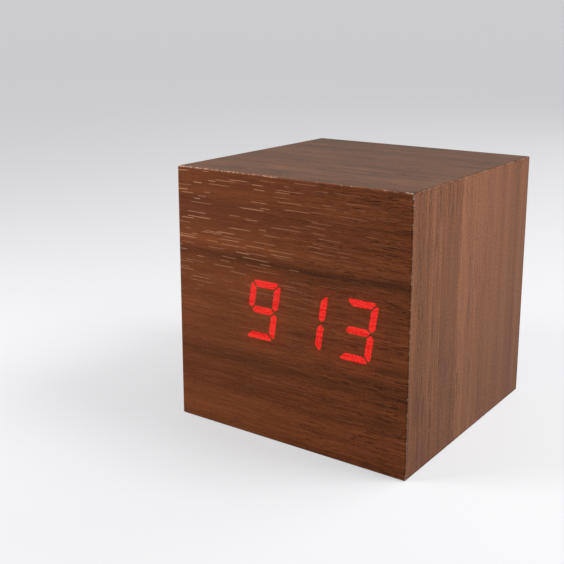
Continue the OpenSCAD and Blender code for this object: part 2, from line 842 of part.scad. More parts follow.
module socket_leads() {
    color("dimgray") for (side = [-1, 1]) lead([socket_x + side * lead_d, socket_end_y, button_z],
        [socket_pad_x + side * lead_d, pad_z]);
}

// Controls
// A domed cap with a flange that stops it behind the panel
module button(k) {
    r = button_d / 2;
    top = flange_t + panel_t + button_rise;
    bulge = (r * r + dome_h * dome_h) / (2 * dome_h);
    color("#303234") turned_y(panel_y0 - flange_t, button_xs[k], button_z) {
        square([r + flange_grow, flange_t]);
        square([r, top - dome_h]);
        intersection() {
            square([r, top]);
            translate([0, top - bulge]) circle(r = bulge, $fn = 4 * $fn);
        }
    }
}

module set_button() {
    button(0);
}

module up_button() {
    button(1);
}

module down_button() {
    button(2);
}

// The plunger of a switch, which a button rests on
module plunger(k) {
    color("black")
        bar_y(plunger_d, switch_y1 - plunger_root, switch_y1 + plunger_rise, button_xs[k], button_z);
}

module set_plunger() {
    plunger(0);
}

module up_plunger() {
    plunger(1);
}

module down_plunger() {
    plunger(2);
}

module switch_bodies() {
    color("silver") at_buttons() difference() {
        block_y(switch_w, switch_w, button_board_y1, switch_y1);
        bar_y(plunger_d + 2 * plunger_gap,
            switch_y1 - plunger_root - 2 * button_travel, switch_y1 + switch_t);
    }
}

module button_board() {
    left = button_xs[0] - board_edge;
    right = button_xs[2] + board_edge;
    low = button_z - board_foot;
    high = button_z + boss_rise + boss_edge;
    color("seagreen") difference() {
        translate([left, button_board_y0, low]) cube([right - left, pcb_t, high - low]);
        at_bosses() bar_y(small_screw_d + 2 * screw_gap, button_board_y0 - pcb_t, button_board_y1 + pcb_t);
    }
}

module button_board_screws() {
    color("silver") at_bosses()
        cross_screw(button_board_y0, small_screw_d, pcb_t + small_screw_bite, small_head_d, small_head_t);
}

// Power socket: a block behind the panel with a snout through it and a bore for the plug
module power_socket() {
    color("black") difference() {
        union() {
            block_y(socket_w, socket_w, socket_end_y, panel_y0, socket_x, button_z);
            bar_y(socket_d + 2 * socket_wall, panel_y0 - socket_wall, socket_mouth_y, socket_x, button_z);
        }
        bar_y(socket_d, socket_floor_y, half, socket_x, button_z);
    }
}

module socket_pin() {
    color("silver")
        bar_y(socket_pin_d, socket_floor_y, socket_mouth_y - socket_pin_inset, socket_x, button_z);
}

// Stands the clock, which is drawn about its middle, on its base
module standing() {
    translate([0, 0, half]) children();
}

standing() board("top");  // top_board
standing() board("right");  // right_board
standing() board("bottom");  // bottom_board
standing() board("left");  // left_board
standing() front_board();
standing() corner_blocks();
standing() veneer("top");  // top_veneer
standing() veneer("right");  // right_veneer
standing() veneer("bottom");  // bottom_veneer
standing() veneer("left");  // left_veneer
standing() front_veneer();
standing() banding("top");  // top_banding
standing() banding("right");  // right_banding
standing() banding("bottom");  // bottom_banding
standing() banding("left");  // left_banding
standing() display_reflector();
standing() lit_segments();
standing() dark_segments();
standing() display_substrate();
standing() led_chips();
standing() display_pins();
standing() main_board();
standing() board_spacers();
standing() board_screws();
standing() controller_chip();
standing() quartz_crystal();
standing() buzzer();
standing() smoothing_capacitor();
standing() coin_cell_holder();
standing() coin_cell();
standing() ribbon_headers();
standing() ribbon_cable();
standing() rear_housing();
standing() housing_screws();
standing() battery_door();
standing() battery_cells();
standing() cell_jackets();
standing() negative_contact();
standing() positive_contact();
standing() left_link_contact();
standing() right_link_contact();
standing() contact_springs();
standing() battery_lead_red();
standing() battery_lead_black();
standing() socket_leads();
standing() set_button();
standing() up_button();
standing() down_button();
standing() set_plunger();
standing() up_plunger();
standing() down_plunger();
standing() switch_bodies();
standing() button_board();
standing() button_board_screws();
standing() power_socket();
standing() socket_pin();
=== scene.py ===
"""LED desk clock: the finish of its case, display, rear housing and works, and its stage."""

import json
import math

import bmesh
import bpy
from bpy.props import FloatProperty, FloatVectorProperty, IntProperty, PointerProperty
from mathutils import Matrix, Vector
from mathutils.geometry import delaunay_2d_cdt

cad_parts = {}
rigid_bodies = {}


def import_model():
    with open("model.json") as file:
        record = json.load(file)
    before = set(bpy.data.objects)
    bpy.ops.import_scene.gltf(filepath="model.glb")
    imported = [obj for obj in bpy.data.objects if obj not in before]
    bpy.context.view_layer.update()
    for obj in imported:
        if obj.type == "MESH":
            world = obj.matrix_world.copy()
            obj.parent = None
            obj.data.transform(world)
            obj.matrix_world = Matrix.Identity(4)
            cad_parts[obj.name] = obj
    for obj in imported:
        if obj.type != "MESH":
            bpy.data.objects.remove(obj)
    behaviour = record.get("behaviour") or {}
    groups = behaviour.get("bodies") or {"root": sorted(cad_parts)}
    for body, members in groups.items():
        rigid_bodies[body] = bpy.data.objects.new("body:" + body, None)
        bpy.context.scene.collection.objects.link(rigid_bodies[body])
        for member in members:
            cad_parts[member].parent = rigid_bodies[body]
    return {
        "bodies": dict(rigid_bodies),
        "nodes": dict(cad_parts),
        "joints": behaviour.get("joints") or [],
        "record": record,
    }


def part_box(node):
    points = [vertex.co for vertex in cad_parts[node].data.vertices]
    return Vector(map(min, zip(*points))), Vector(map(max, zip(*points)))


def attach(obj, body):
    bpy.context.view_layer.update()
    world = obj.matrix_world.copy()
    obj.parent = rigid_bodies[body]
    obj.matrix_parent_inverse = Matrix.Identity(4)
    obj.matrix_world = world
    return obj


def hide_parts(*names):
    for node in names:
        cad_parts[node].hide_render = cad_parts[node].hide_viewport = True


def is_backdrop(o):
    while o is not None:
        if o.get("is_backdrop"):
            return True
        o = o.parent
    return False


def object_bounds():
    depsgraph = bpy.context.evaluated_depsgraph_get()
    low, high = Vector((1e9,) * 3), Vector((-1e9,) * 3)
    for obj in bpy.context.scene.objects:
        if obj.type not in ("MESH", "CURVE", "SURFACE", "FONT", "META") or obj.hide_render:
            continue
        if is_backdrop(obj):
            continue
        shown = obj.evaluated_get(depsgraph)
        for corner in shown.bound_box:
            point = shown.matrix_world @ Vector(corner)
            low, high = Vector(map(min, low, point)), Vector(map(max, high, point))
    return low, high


bl_info = {
    "name": "LED Desk Clock",
    "version": (1, 0, 0),
    "blender": (4, 5, 0),
    "location": "3D View > Sidebar > Clock",
    "description": "Finishes the pieces of a veneered LED desk clock and sets its stage",
    "category": "Object",
}

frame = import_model()


def clear_new_file():
    """Removes what a new file holds besides the frame."""
    kept = {thing.name for kind in ("nodes", "bodies") for thing in frame[kind].values()}
    for thing in [thing for thing in bpy.data.objects if thing.name not in kept]:
        bpy.data.objects.remove(thing)


clear_new_file()
CAD_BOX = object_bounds()

# Lengths in this script are in millimetres. Those of the frame and of the settings are in metres.
MM = 0.001


def box_mm(node):
    """Lowest and highest corner of a CAD node in millimetres."""
    low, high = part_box(node)
    return low / MM, high / MM


def in_mm(settings, *names):
    """Lengths among some settings, in millimetres."""
    return [getattr(settings, name) / MM for name in names]


def linear(red, green, blue):
    """A display colour, counted to 255, as the linear colour that the nodes take."""
    shares = [value / 255 for value in (red, green, blue)]
    return tuple(s / 12.92 if s <= 0.04045 else ((s + 0.055) / 1.055) ** 2.4 for s in shares)


# Places that several pieces share, taken from the frame, and names of like nodes
CASE_LOW, CASE_HIGH = (corner / MM for corner in CAD_BOX)
HALF = (CASE_HIGH.x - CASE_LOW.x) / 2
FACE_LOW, FACE_HIGH = box_mm("front_veneer")
PANEL_Y = box_mm("housing_screws")[1].y
SLOTS = {row["node"]: row["material_slot"] for row in frame["record"]["subparts"]}
BUTTONS = ("set_button", "up_button", "down_button")
CONTACTS = ("negative_contact", "positive_contact", "left_link_contact", "right_link_contact")
CELL_COUNT = 3
# Leads: width, reach of their bends, and starts and ends, from the rear housing to the main board
LEAD_WIDTH = 1.2
LEAD_REACH = 12
LEAD_ROUTES = {
    "battery_lead_red": [((23.75, 13.5, 18.45), (21.0, -21.5, 34.5))],
    "battery_lead_black": [((-23.75, 13.5, 40.25), (-21.0, -21.5, 34.5))],
    "socket_leads": [
        ((-15.7, 19.2, 51.0), (-2.7, -21.5, 45.5)),
        ((-13.3, 19.2, 51.0), (-0.3, -21.5, 45.5)),
    ],
}


# Settings


def colour(name, description, default):
    """A colour."""
    return FloatVectorProperty(
        name=name, description=description, subtype="COLOR", size=3, min=0, max=1, default=default
    )


def share(name, description, default):
    """A value from 0 to 1."""
    return FloatProperty(name=name, description=description, subtype="FACTOR", min=0, max=1, default=default)


def length(name, description, default):
    """A length, whose default is given in millimetres."""
    return FloatProperty(name=name, description=description, subtype="DISTANCE", min=0, default=default * MM)


def bearing(name, description, default):
    """An angle, whose default is given in degrees."""
    return FloatProperty(name=name, description=description, subtype="ANGLE", default=math.radians(default))


def watts(name, description, default):
    """The power of a lamp."""
    return FloatProperty(name=name, description=description, subtype="POWER", min=0, default=default)


def number(name, description, default, least=1):
    """A whole number."""
    return IntProperty(name=name, description=description, min=least, default=default)


class VeneerSettings(bpy.types.PropertyGroup):
    """Colours and gloss of the walnut veneer."""

    front_dark: colour("Dark Front", "Dark bands of the front and base", linear(68, 34, 17))
    front_middle: colour("Middle Front", "Between the bands of the front and base", linear(103, 53, 27))
    front_light: colour("Light Front", "Light bands of the front and base", linear(131, 72, 36))
    # The sides are paler than the front, partly their own tone and partly a painted sheen
    side_dark: colour("Dark Sides", "Dark bands of the sides", linear(88, 49, 30))
    side_middle: colour("Middle Sides", "Between the bands of the sides", linear(119, 74, 49))
    side_light: colour("Light Sides", "Light bands of the sides", linear(147, 96, 65))
    # The top is darker than the front: painted shade that offsets the lamp light falling on it
    top_dark: colour("Dark Top", "Dark bands of the top", linear(56, 34, 20))
    top_middle: colour("Middle Top", "Between the bands of the top", linear(79, 50, 31))
    top_light: colour("Light Top", "Light bands of the top", linear(104, 68, 44))
    banding_dark: colour("Dark Banding", "Dark bands of the rear edges", linear(58, 33, 20))
    banding_middle: colour("Middle Banding", "Between the bands of the rear edges", linear(92, 54, 33))
    banding_light: colour("Light Banding", "Light bands of the rear edges", linear(126, 79, 50))
    pore: colour("Pore", "Colour of the open pores", linear(42, 15, 4))
    # Painted highlight: the colour of the glints in the pores
    glint: colour("Painted Pore Glint", "Colour of the painted highlight that glints in the pores", linear(190, 140, 106))
    # Rubbed edges: the wood's own wear, and a painted highlight along them
    worn: colour("Worn And Highlit Edge", "Colour of the rubbed edges and of their painted highlight", linear(196, 168, 146))
    wander: length("Wander", "How far the grain wanders to the side", 1.6)
    specular: share("Specular", "Reflection of the satin lacquer", 0.08)
    roughness: share("Roughness", "Roughness of the satin lacquer", 0.46)


class DisplaySettings(bpy.types.PropertyGroup):
    """Light of the digits that shine through the front veneer."""

    bright: colour("Bright Light", "Light through the clear wood", (0.92, 0.028, 0.020))
    dim: colour("Dim Light", "Light through the dense fibres", (0.58, 0.001, 0.001))
    halo: colour("Halo", "Light that spreads in the wood beside a segment", (0.022, 0.0002, 0.0001))
    halo_reach: length("Halo Reach", "How far the light spreads", 3.8)
    rounding: length("Rounding", "Of the light at the corners of a segment", 0.4)
    net: length("Net", "Spacing of the mesh around the digits", 0.9)


class HousingSettings(bpy.types.PropertyGroup):
    """Finish of the rear housing and its controls."""

    shell: colour("Housing", "Colour of the moulded housing", linear(34, 35, 37))
    button: colour("Button", "Colour of the buttons", linear(52, 53, 56))
    print: colour("Print", "Colour of the printed marks", linear(188, 190, 190))
    edge: length("Soft Edge", "Width of the softened edges", 0.14)


class CellSettings(bpy.types.PropertyGroup):
    """Print of the cells, and the shape of their springs."""

    jacket: colour("Jacket", "Colour of a cell's jacket", linear(202, 203, 198))
    band: colour("Band", "Colour of the band at the positive end", linear(62, 74, 86))
    nub_diameter: length("Nub Diameter", "Of the positive end", 3.8)
    nub_height: length("Nub Height", "Of the positive end", 1.0)
    band_width: length("Band Width", "Of the band at the positive end", 13.0)
    spring_length: length("Spring Length", "Under the push of a cell", 3.0)
    spring_base: length("Spring Base", "Radius at the contact plate", 3.5)
    spring_tip: length("Spring Tip", "Radius at the cell", 2.0)
    spring_wire: length("Spring Wire", "Diameter of the wire", 0.5)
    spring_turns: FloatProperty(name="Spring Turns", description="Turns of a spring", min=1, default=2.5)


class StageSettings(bpy.types.PropertyGroup):
    """Camera, floor and lamps."""

    azimuth: bearing("Azimuth", "Angle of the camera round the clock", 35.40)
    elevation: bearing("Elevation", "Angle of the camera above the horizon", 12.66)
    distance: length("Distance", "From the camera to its target", 247.63)
    target: FloatVectorProperty(
        name="Target", description="Point that the camera looks at", subtype="TRANSLATION", size=3,
        default=(-23.30 * MM, 0.0, 43.48 * MM),
    )
    lens: FloatProperty(name="Lens", description="Focal length", subtype="DISTANCE_CAMERA", default=59.74)
    shift: FloatProperty(name="Shift", description="Vertical shift of the lens", default=-0.0993)
    floor: colour("Floor", "Colour of the floor", (0.30, 0.30, 0.305))
    floor_glow: colour("Floor Glow", "Added to what the camera sees of the floor", (0.47, 0.47, 0.48))
    backdrop: colour("Backdrop", "Colour behind the floor", (0.604, 0.604, 0.617))
    ambient: share("Ambient", "Light from all round", 0.34)
    right_lamp: watts("Right Lamp", "Lamp beside the clock", 1.42)
    front_lamp: watts("Front Lamp", "Lamp in front of the clock", 0.87)
    rear_lamp: watts("Rear Lamp", "Lamp behind the clock", 1.9)


# Node trees


class Tree:
    """Builds a node tree. An input is a plain value or the output of another node."""

    def __init__(self, tree):
        self.tree = tree

    def give(self, socket, value):
        """Links an output to a socket, or sets the socket's own value."""
        if isinstance(value, bpy.types.NodeSocket):
            self.tree.links.new(value, socket)
        elif socket.type == "RGBA" and len(value) == 3:
            socket.default_value = (*value, 1)
        else:
            socket.default_value = value

    def add(self, kind, inputs=None, **settings):
        """Adds a node, with its settings and its inputs."""
        node = self.tree.nodes.new("ShaderNode" + kind)
        for name, value in settings.items():
            setattr(node, name, value)
        for key, value in (inputs or {}).items():
            self.give(node.inputs[key], value)
        return node

    def math(self, operation, first, second=0.0):
        return self.add("Math", {0: first, 1: second}, operation=operation).outputs[0]

    def plus(self, first, second):
        return self.math("ADD", first, second)

    def minus(self, first, second):
        return self.math("SUBTRACT", first, second)

    def times(self, first, second):
        return self.math("MULTIPLY", first, second)

    def larger(self, first, second):
        return self.math("MAXIMUM", first, second)

    def step(self, value, start, end):
        """Rises smoothly from 0 at start to 1 at end, where start may also be the larger one."""
        inputs = {"Value": value, "From Min": start, "From Max": end}
        return self.add("MapRange", inputs, interpolation_type="SMOOTHSTEP").outputs["Result"]

    def swing(self, value, reach):
        """A value about one half, as a swing of plus or minus reach."""
        return self.times(self.minus(value, 0.5), 2 * reach)

    def lifted(self, value, least):
        """A value from 0 to 1, as one from least to 1."""
        return self.plus(least, self.times(value, 1 - least))

    def mix(self, factor, first, second):
        return self.add("Mix", {0: factor, 6: first, 7: second}, data_type="RGBA").outputs[2]

    def join(self, x, y, z=0.0):
        return self.add("CombineXYZ", {0: x, 1: y, 2: z}).outputs[0]

    def split(self, vector):
        return self.add("SeparateXYZ", {0: vector}).outputs

    def vector(self, operation, first, second=(0, 0, 0)):
        return self.add("VectorMath", {0: first, 1: second}, operation=operation).outputs[0]

    def scaled(self, vector, factors):
        return self.vector("MULTIPLY", vector, factors)

    def noise(self, vector, detail=2.0, roughness=0.5, scale=1.0):
        inputs = {"Vector": vector, "Scale": scale, "Detail": detail, "Roughness": roughness}
        return self.add("TexNoise", inputs).outputs[0]

    def streaks(self, along, across, layer, scale, detail=2.0, roughness=0.5):
        """A layer of noise with one scale along the grain and another across it."""
        spots = self.join(self.times(along, scale[0]), self.times(across, scale[1]), layer)
        return self.noise(spots, detail, roughness)

    def patches(self, vector):
        """A random value for each cell of a scattered net."""
        node = self.add("TexVoronoi", {"Vector": vector, "Scale": 1.0}, voronoi_dimensions="2D")
        return self.split(node.outputs["Color"])[0]

    def dashes(self, along, across, cell, dash, share):
        """Dashes in a share of the scattered cells of a net, uneven in length and strength.

        Cell and dash are a length along the dashes and a width across them. The solid part of a dash is
        a share of its own length and width, outside which it fades.
        """
        scatter, shortest, faintest = 0.85, 0.2, 0.4
        solid_length, solid_width = 0.6, 0.4
        spots = self.join(self.times(along, 1 / cell[0]), self.times(across, 1 / cell[1]))
        inputs = {"Vector": spots, "Scale": 1.0, "Randomness": scatter}
        net = self.add("TexVoronoi", inputs, voronoi_dimensions="2D").outputs
        draws = self.add("TexWhiteNoise", {"Vector": net["Color"]}).outputs["Color"]
        chance, size, strength = self.split(draws)
        away = self.vector("ABSOLUTE", self.vector("SUBTRACT", spots, net["Position"]))
        ahead, aside, _ = self.split(away)
        reach = self.times(self.lifted(size, shortest), dash[0] / cell[0] / 2)
        ends = self.step(self.math("DIVIDE", ahead, reach), 1.0, solid_length)
        width = dash[1] / cell[1] / 2
        sides = self.step(aside, width, solid_width * width)
        drawn = self.times(self.math("LESS_THAN", chance, share), self.lifted(strength, faintest))
        return self.times(self.times(ends, sides), drawn)

    def ramp(self, value, stops, ease="LINEAR"):
        """Colours or shades of grey at places from 0 to 1."""
        node = self.add("ValToRGB", {0: value})
        node.color_ramp.interpolation = ease
        elements = node.color_ramp.elements
        while len(elements) < len(stops):
            elements.new(1.0)
        for element, (place, tone) in zip(elements, stops):
            element.position = place
            element.color = (*tone, 1) if hasattr(tone, "__len__") else (tone, tone, tone, 1)
        return node.outputs[0]

    def place(self):
        """Point of the surface in millimetres, in the frame of the clock."""
        return self.scaled(self.add("TexCoord").outputs["Object"], (1 / MM, 1 / MM, 1 / MM))

    def effect(self, name, inputs):
        """Places a shared effect and returns its outputs."""
        return self.add("Group", inputs, node_tree=effect_group(name)).outputs

    def bump(self, height, strength, depth):
        """Normal of a surface with that height, whose relief is depth millimetres."""
        inputs = {"Height": height, "Strength": strength, "Distance": depth * MM}
        return self.add("Bump", inputs).outputs[0]


# Fibres of the veneer, coarse to fine: length, spacing, detail, layer of the noise and weight
FIBRES = ((20, 0.9, 3.0, 0.0, 0.36), (8, 0.4, 2.0, 2.3, 0.4), (3.2, 0.24, 1.0, 4.7, 0.24))


def build_grain(tree, given):
    """Bands, fibres, dark pores, painted highlights that glint in the pores, and specks of wood whose grain
    runs along X of the vector.
    """
    seed_gap, dash_shift, cluster_shift = 37.0, 3.1, 9.1
    run, across, _ = tree.split(given["Vector"])
    along = tree.math("DIVIDE", run, given["Stretch"])
    layer = tree.times(given["Seed"], seed_gap)
    slow = tree.streaks(along, across, layer, scale=(0.017, 0.045))
    bent = tree.plus(across, tree.times(tree.minus(slow, 0.5), given["Wander"]))
    fine = tree.streaks(along, across, layer, scale=(0.22, 0.8), detail=1.0)
    combed = tree.plus(bent, tree.swing(fine, reach=0.11))
    figure = tree.streaks(along, bent, layer, scale=(0.012, 0.24), detail=3.0, roughness=0.6)
    fibres = 0.0
    for span, spacing, detail, shift, weight in FIBRES:
        lines = tree.streaks(along, combed, tree.plus(layer, shift), (1 / span, 1 / spacing), detail)
        fibres = tree.plus(fibres, tree.times(lines, weight))
    shifted = tree.plus(along, tree.times(layer, dash_shift))
    glints = tree.dashes(shifted, combed, cell=(8.0, 1.0), dash=(10.0, 0.25), share=0.6)
    clusters = tree.streaks(along, bent, tree.plus(layer, cluster_shift), scale=(0.12, 0.4))
    open_share = tree.lifted(tree.step(clusters, 0.4, 0.62), least=0.25)
    pores = tree.dashes(shifted, combed, cell=(2.8, 0.42), dash=(3.2, 0.25), share=0.65)
    specks = tree.streaks(run, across, layer, scale=(1.7, 3.0), detail=3.0, roughness=0.75)
    return bent, figure, fibres, tree.times(pores, open_share), glints, specks


def build_wear(tree, given):
    """Rubbed patches along the front and rear edges of the cube, partly wear and partly a painted highlight,
    and dark notches along the others.
    """
    corner_reach, corner_core, corner_cover = 4.0, 0.5, 0.12
    crease_reach, crease_core = 0.7, 0.3
    x, y, z = tree.split(given["Place"])
    centred = (x, y, tree.minus(z, CASE_LOW.z + HALF))
    from_x, from_y, from_z = (tree.minus(HALF, tree.math("ABSOLUTE", value)) for value in centred)
    upright = tree.larger(from_x, from_y)
    nearest = tree.math("MINIMUM", upright, tree.larger(from_y, from_z))
    corner = tree.step(tree.larger(upright, from_z), corner_reach, corner_core)
    cover = tree.plus(given["Cover"], tree.times(corner, corner_cover))
    patches = tree.noise(given["Place"], detail=4.0, roughness=0.75, scale=1.3)
    reach = tree.times(tree.step(tree.plus(patches, cover), 0.6, 0.86), given["Reach"])
    wear = tree.step(nearest, tree.plus(reach, 0.001), tree.times(reach, 0.4))
    notches = tree.noise(tree.scaled(given["Place"], (0.9, 2.4, 0.9)), detail=2.0, roughness=0.7)
    receding = tree.step(tree.larger(from_x, from_z), crease_reach, crease_core)
    return wear, tree.times(receding, tree.step(notches, 0.4, 0.62))


def build_moulding(tree, given):
    """Fine grain of moulded plastics and resins, and the faint cloudiness of their colour."""
    grain = tree.noise(given["Place"], detail=3.0, roughness=0.65, scale=5.5)
    clouds = tree.noise(given["Place"], detail=3.0, roughness=0.6, scale=0.16)
    return grain, clouds


def build_plating(tree, given):
    """Fine scratches and stains of plated metals."""
    scratches = tree.noise(tree.scaled(given["Place"], (1.2, 14.0, 14.0)), detail=3.0, roughness=0.6)
    stains = tree.noise(given["Place"], detail=4.0, roughness=0.65, scale=0.5)
    return scratches, stains


# Shared effects: what builds each, the kinds of its inputs, and its outputs
EFFECTS = {
    "Veneer Grain": (
        build_grain,
        {"Vector": "Vector", "Seed": "Float", "Wander": "Float", "Stretch": "Float"},
        ("Across", "Figure", "Fibres", "Pores", "Glints", "Specks"),
    ),
    "Edge Wear": (build_wear, {"Place": "Vector", "Reach": "Float", "Cover": "Float"}, ("Wear", "Creases")),
    "Moulded Texture": (build_moulding, {"Place": "Vector"}, ("Grain", "Clouds")),
    "Plated Surface": (build_plating, {"Place": "Vector"}, ("Scratches", "Stains")),
}


def effect_group(name):
    """The node group of a shared effect, built once."""
    made = bpy.data.node_groups.get(name)
    if made:
        return made
    build, inputs, outputs = EFFECTS[name]
    made = bpy.data.node_groups.new(name, "ShaderNodeTree")
    for label, kind in inputs.items():
        made.interface.new_socket(name=label, in_out="INPUT", socket_type="NodeSocket" + kind)
    for label in outputs:
        made.interface.new_socket(name=label, in_out="OUTPUT", socket_type="NodeSocketFloat")
    given = made.nodes.new("NodeGroupInput")
    result = made.nodes.new("NodeGroupOutput")
    for label, value in zip(outputs, build(Tree(made), given.outputs)):
        made.links.new(value, result.inputs[label])
    return made


# Materials


def new_material(name, roughness=0.5, specular=0.5, metallic=0.0):
    """A material with a Principled shader. Returns it with its tree and its shader's inputs."""
    material = bpy.data.materials.new(name)
    material.use_nodes = True
    shader = material.node_tree.nodes["Principled BSDF"].inputs
    shader["Roughness"].default_value = roughness
    shader["Specular IOR Level"].default_value = specular
    shader["Metallic"].default_value = metallic
    return material, Tree(material.node_tree), shader


# Tone of the front veneer's figure by height from the base, as shares of the side
FRONT_FIGURE = [
    (0.0, 0.46), (0.06, 0.68), (0.13, 0.64), (0.18, 0.44), (0.23, 0.47), (0.29, 0.42), (0.375, 0.58),
    (0.425, 0.55), (0.475, 0.62), (0.525, 0.55), (0.575, 0.61), (0.655, 0.45), (0.685, 0.22), (0.70, 0.50),
    (0.73, 0.74), (0.78, 0.58), (0.86, 0.46), (0.92, 0.60), (1.0, 0.54),
]
# Tone of the right veneer's figure from front to rear
RIGHT_FIGURE = [
    (0.0, 0.57), (0.2, 0.54), (0.35, 0.48), (0.38, 0.78), (0.48, 0.74), (0.56, 0.56), (0.8, 0.45),
    (1.0, 0.39),
]
# Tone of the top veneer's figure from front to rear
TOP_FIGURE = [(0.0, 0.62), (0.12, 0.60), (0.2, 0.68), (0.3, 0.56), (0.65, 0.52), (1.0, 0.42)]
# Tone of a veneer whose figure comes from its grain alone
EVEN_FIGURE = [(0.0, 0.5), (1.0, 0.5)]
# Places of a wood's colours among the tones
TONE_STOPS = {"dark": 0.08, "middle": 0.5, "light": 0.95}


def walnut(name, along, across, figure, seed, wood="front", tones=None, glints=False, wear=0.3,
           figure_share=0.3, pores=0.4, fibres=1.0, stretch=1.0, fineness=1.0, specks=0.25, foot=0.0,
           calm_and_sheen=("x", HALF, -HALF)):
    """Walnut veneer whose grain runs along one axis.

    Its dark, middle and light tones are the settings of a wood, or are given, and foot darkens its base as
    painted shade.
    Calm and sheen name an axis and the places on it between which the fibres fade to half and a painted sheen
    lifts the tone.
    """
    painted_sheen_lift, foot_shade_top, open_share = 0.045, 0.7 * CASE_HIGH.z, 1.4
    crease_share, worn_and_highlit_share = 0.3, 0.7
    rough_swing, crease_roughness, fibre_relief = 0.16, 0.4, 0.6
    veneer = bpy.context.scene.clock_veneer
    material, tree, shader = new_material(name, veneer.roughness, veneer.specular)
    place = tree.place()
    axes = dict(zip("xyz", tree.split(place)))
    grain = tree.effect("Veneer Grain", {
        "Vector": tree.join(axes[along], tree.times(axes[across], fineness)),
        "Seed": seed,
        "Wander": veneer.wander / MM,
        "Stretch": stretch,
    })
    low, high = (fineness * getattr(corner, across) for corner in (CASE_LOW, CASE_HIGH))
    height = tree.math("DIVIDE", tree.minus(grain["Across"], low), high - low)
    calm_axis, start, end = calm_and_sheen
    calm_and_sheen_share = tree.step(axes[calm_axis], start, end)
    strength = tree.minus(fibres, tree.times(calm_and_sheen_share, 0.5 * fibres))
    tone = tree.plus(tree.ramp(height, figure, "EASE"), tree.swing(grain["Figure"], figure_share))
    tone = tree.plus(tone, tree.times(tree.swing(grain["Fibres"], 1.0), strength))
    tone = tree.plus(tone, tree.swing(grain["Specks"], specks))
    # Painted sheen: the tone is lifted on the calm side and lowered on the other
    tone = tree.plus(tone, tree.swing(calm_and_sheen_share, painted_sheen_lift))
    # Painted shade: the tone darkens towards the base, by foot
    tone = tree.minus(tone, tree.times(tree.step(axes["z"], foot_shade_top, 0.0), foot))
    tones = tones or [getattr(veneer, f"{wood}_{tone_name}") for tone_name in TONE_STOPS]
    shade = tree.ramp(tone, list(zip(TONE_STOPS.values(), tones)))
    # Painted highlight: glints in the pores
    if glints:
        painted_glints = painted_glint_share(tree, axes, calm_and_sheen_share)
        shade = tree.mix(tree.times(grain["Glints"], painted_glints), shade, veneer.glint)
    open_pores = tree.times(grain["Pores"], tree.times(tree.minus(open_share, calm_and_sheen_share), pores))
    shade = tree.mix(open_pores, shade, veneer.pore)
    # Rubbed edges, partly real wear and partly a painted highlight, and dark notches along the edges
    edges = tree.effect("Edge Wear", {"Place": place, "Reach": wear, "Cover": worn_and_highlit_cover(tree, axes)})
    shade = tree.mix(tree.times(edges["Creases"], crease_share), shade, veneer.pore)
    shade = tree.mix(tree.times(edges["Wear"], worn_and_highlit_share), shade, veneer.worn)
    tree.give(shader["Base Color"], shade)
    rough = tree.plus(veneer.roughness, tree.swing(grain["Fibres"], rough_swing))
    tree.give(shader["Roughness"], tree.plus(rough, tree.times(edges["Creases"], crease_roughness)))
    relief = tree.minus(tree.times(grain["Fibres"], fibre_relief), grain["Pores"])
    tree.give(shader["Normal"], tree.bump(relief, strength=0.5, depth=0.05))
    return material, tree, shader, grain


def painted_glint_share(tree, axes, calm_and_sheen_share):
    """How strongly the pores glint with a painted highlight: a little all over, more on the calm side, most
    towards the top.
    """
    all_over, where_calm, below = 0.12, 0.66, 0.14
    top = tree.step(axes["z"], 0.42 * CASE_HIGH.z, 0.8 * CASE_HIGH.z)
    return tree.times(tree.plus(all_over, tree.times(calm_and_sheen_share, where_calm)), tree.plus(below, top))


def worn_and_highlit_cover(tree, axes):
    """How much of the edges is rubbed and carries a painted highlight: a little all round, more to the front,
    most at its top left.
    """
    all_round, to_front, to_top_left = 0.1, 0.05, 0.1
    left = tree.step(axes["x"], 0.3 * HALF, -0.8 * HALF)
    front = tree.step(axes["y"], 0.0, -HALF)
    top_left = tree.times(left, tree.step(axes["z"], 0.95 * CASE_HIGH.z, CASE_HIGH.z))
    return tree.plus(tree.times(front, tree.plus(tree.times(top_left, to_top_left), to_front)), all_round)


def plain_walnut(*grain, **look):
    """Walnut veneer without light in it."""
    return walnut(*grain, **look)[0]


# Axes along and across the grain of the front veneer, its figure and its seed
FRONT_GRAIN = ("x", "z", FRONT_FIGURE, 1.0)


def front_walnut():
    """The front veneer, with the light that spreads into it beside the lit segments."""
    display = bpy.context.scene.clock_display
    reach = display.halo_reach / MM
    full_reach, even_share = 0.3 * reach, 0.5
    material, tree, shader, grain = walnut("front_walnut", *FRONT_GRAIN, glints=True, pores=0.8, specks=0.45,
                                           calm_and_sheen=("x", 0.9 * HALF, -0.6 * HALF))
    distance = tree.add("Attribute", attribute_name="light_distance").outputs["Fac"]
    spread = tree.step(distance, reach, full_reach)
    halo = tree.times(spread, tree.plus(even_share, grain["Fibres"]))
    tree.give(shader["Emission Color"], tree.mix(halo, (0, 0, 0), display.halo))
    shader["Emission Strength"].default_value = 1.0
    return material


def lit_veneer():
    """The front veneer over a lit segment, with the light that its fibres let through."""
    display = bpy.context.scene.clock_display
    material, tree, shader, grain = walnut("lit_veneer", *FRONT_GRAIN,
                                           tones=(linear(30, 9, 6), linear(46, 14, 9), linear(60, 20, 12)))
    fibre_share, dim_below, bright_above = 0.35, 0.36, 0.58
    x, _, z = tree.split(tree.place())
    threads = tree.streaks(x, z, 0.0, scale=(2.0, 3.6), roughness=0.7)
    veil = tree.step(tree.plus(threads, tree.swing(grain["Fibres"], fibre_share)), dim_below, bright_above)
    tree.give(shader["Emission Color"], tree.mix(veil, display.dim, display.bright))
    shader["Emission Strength"].default_value = 1.0
    return material


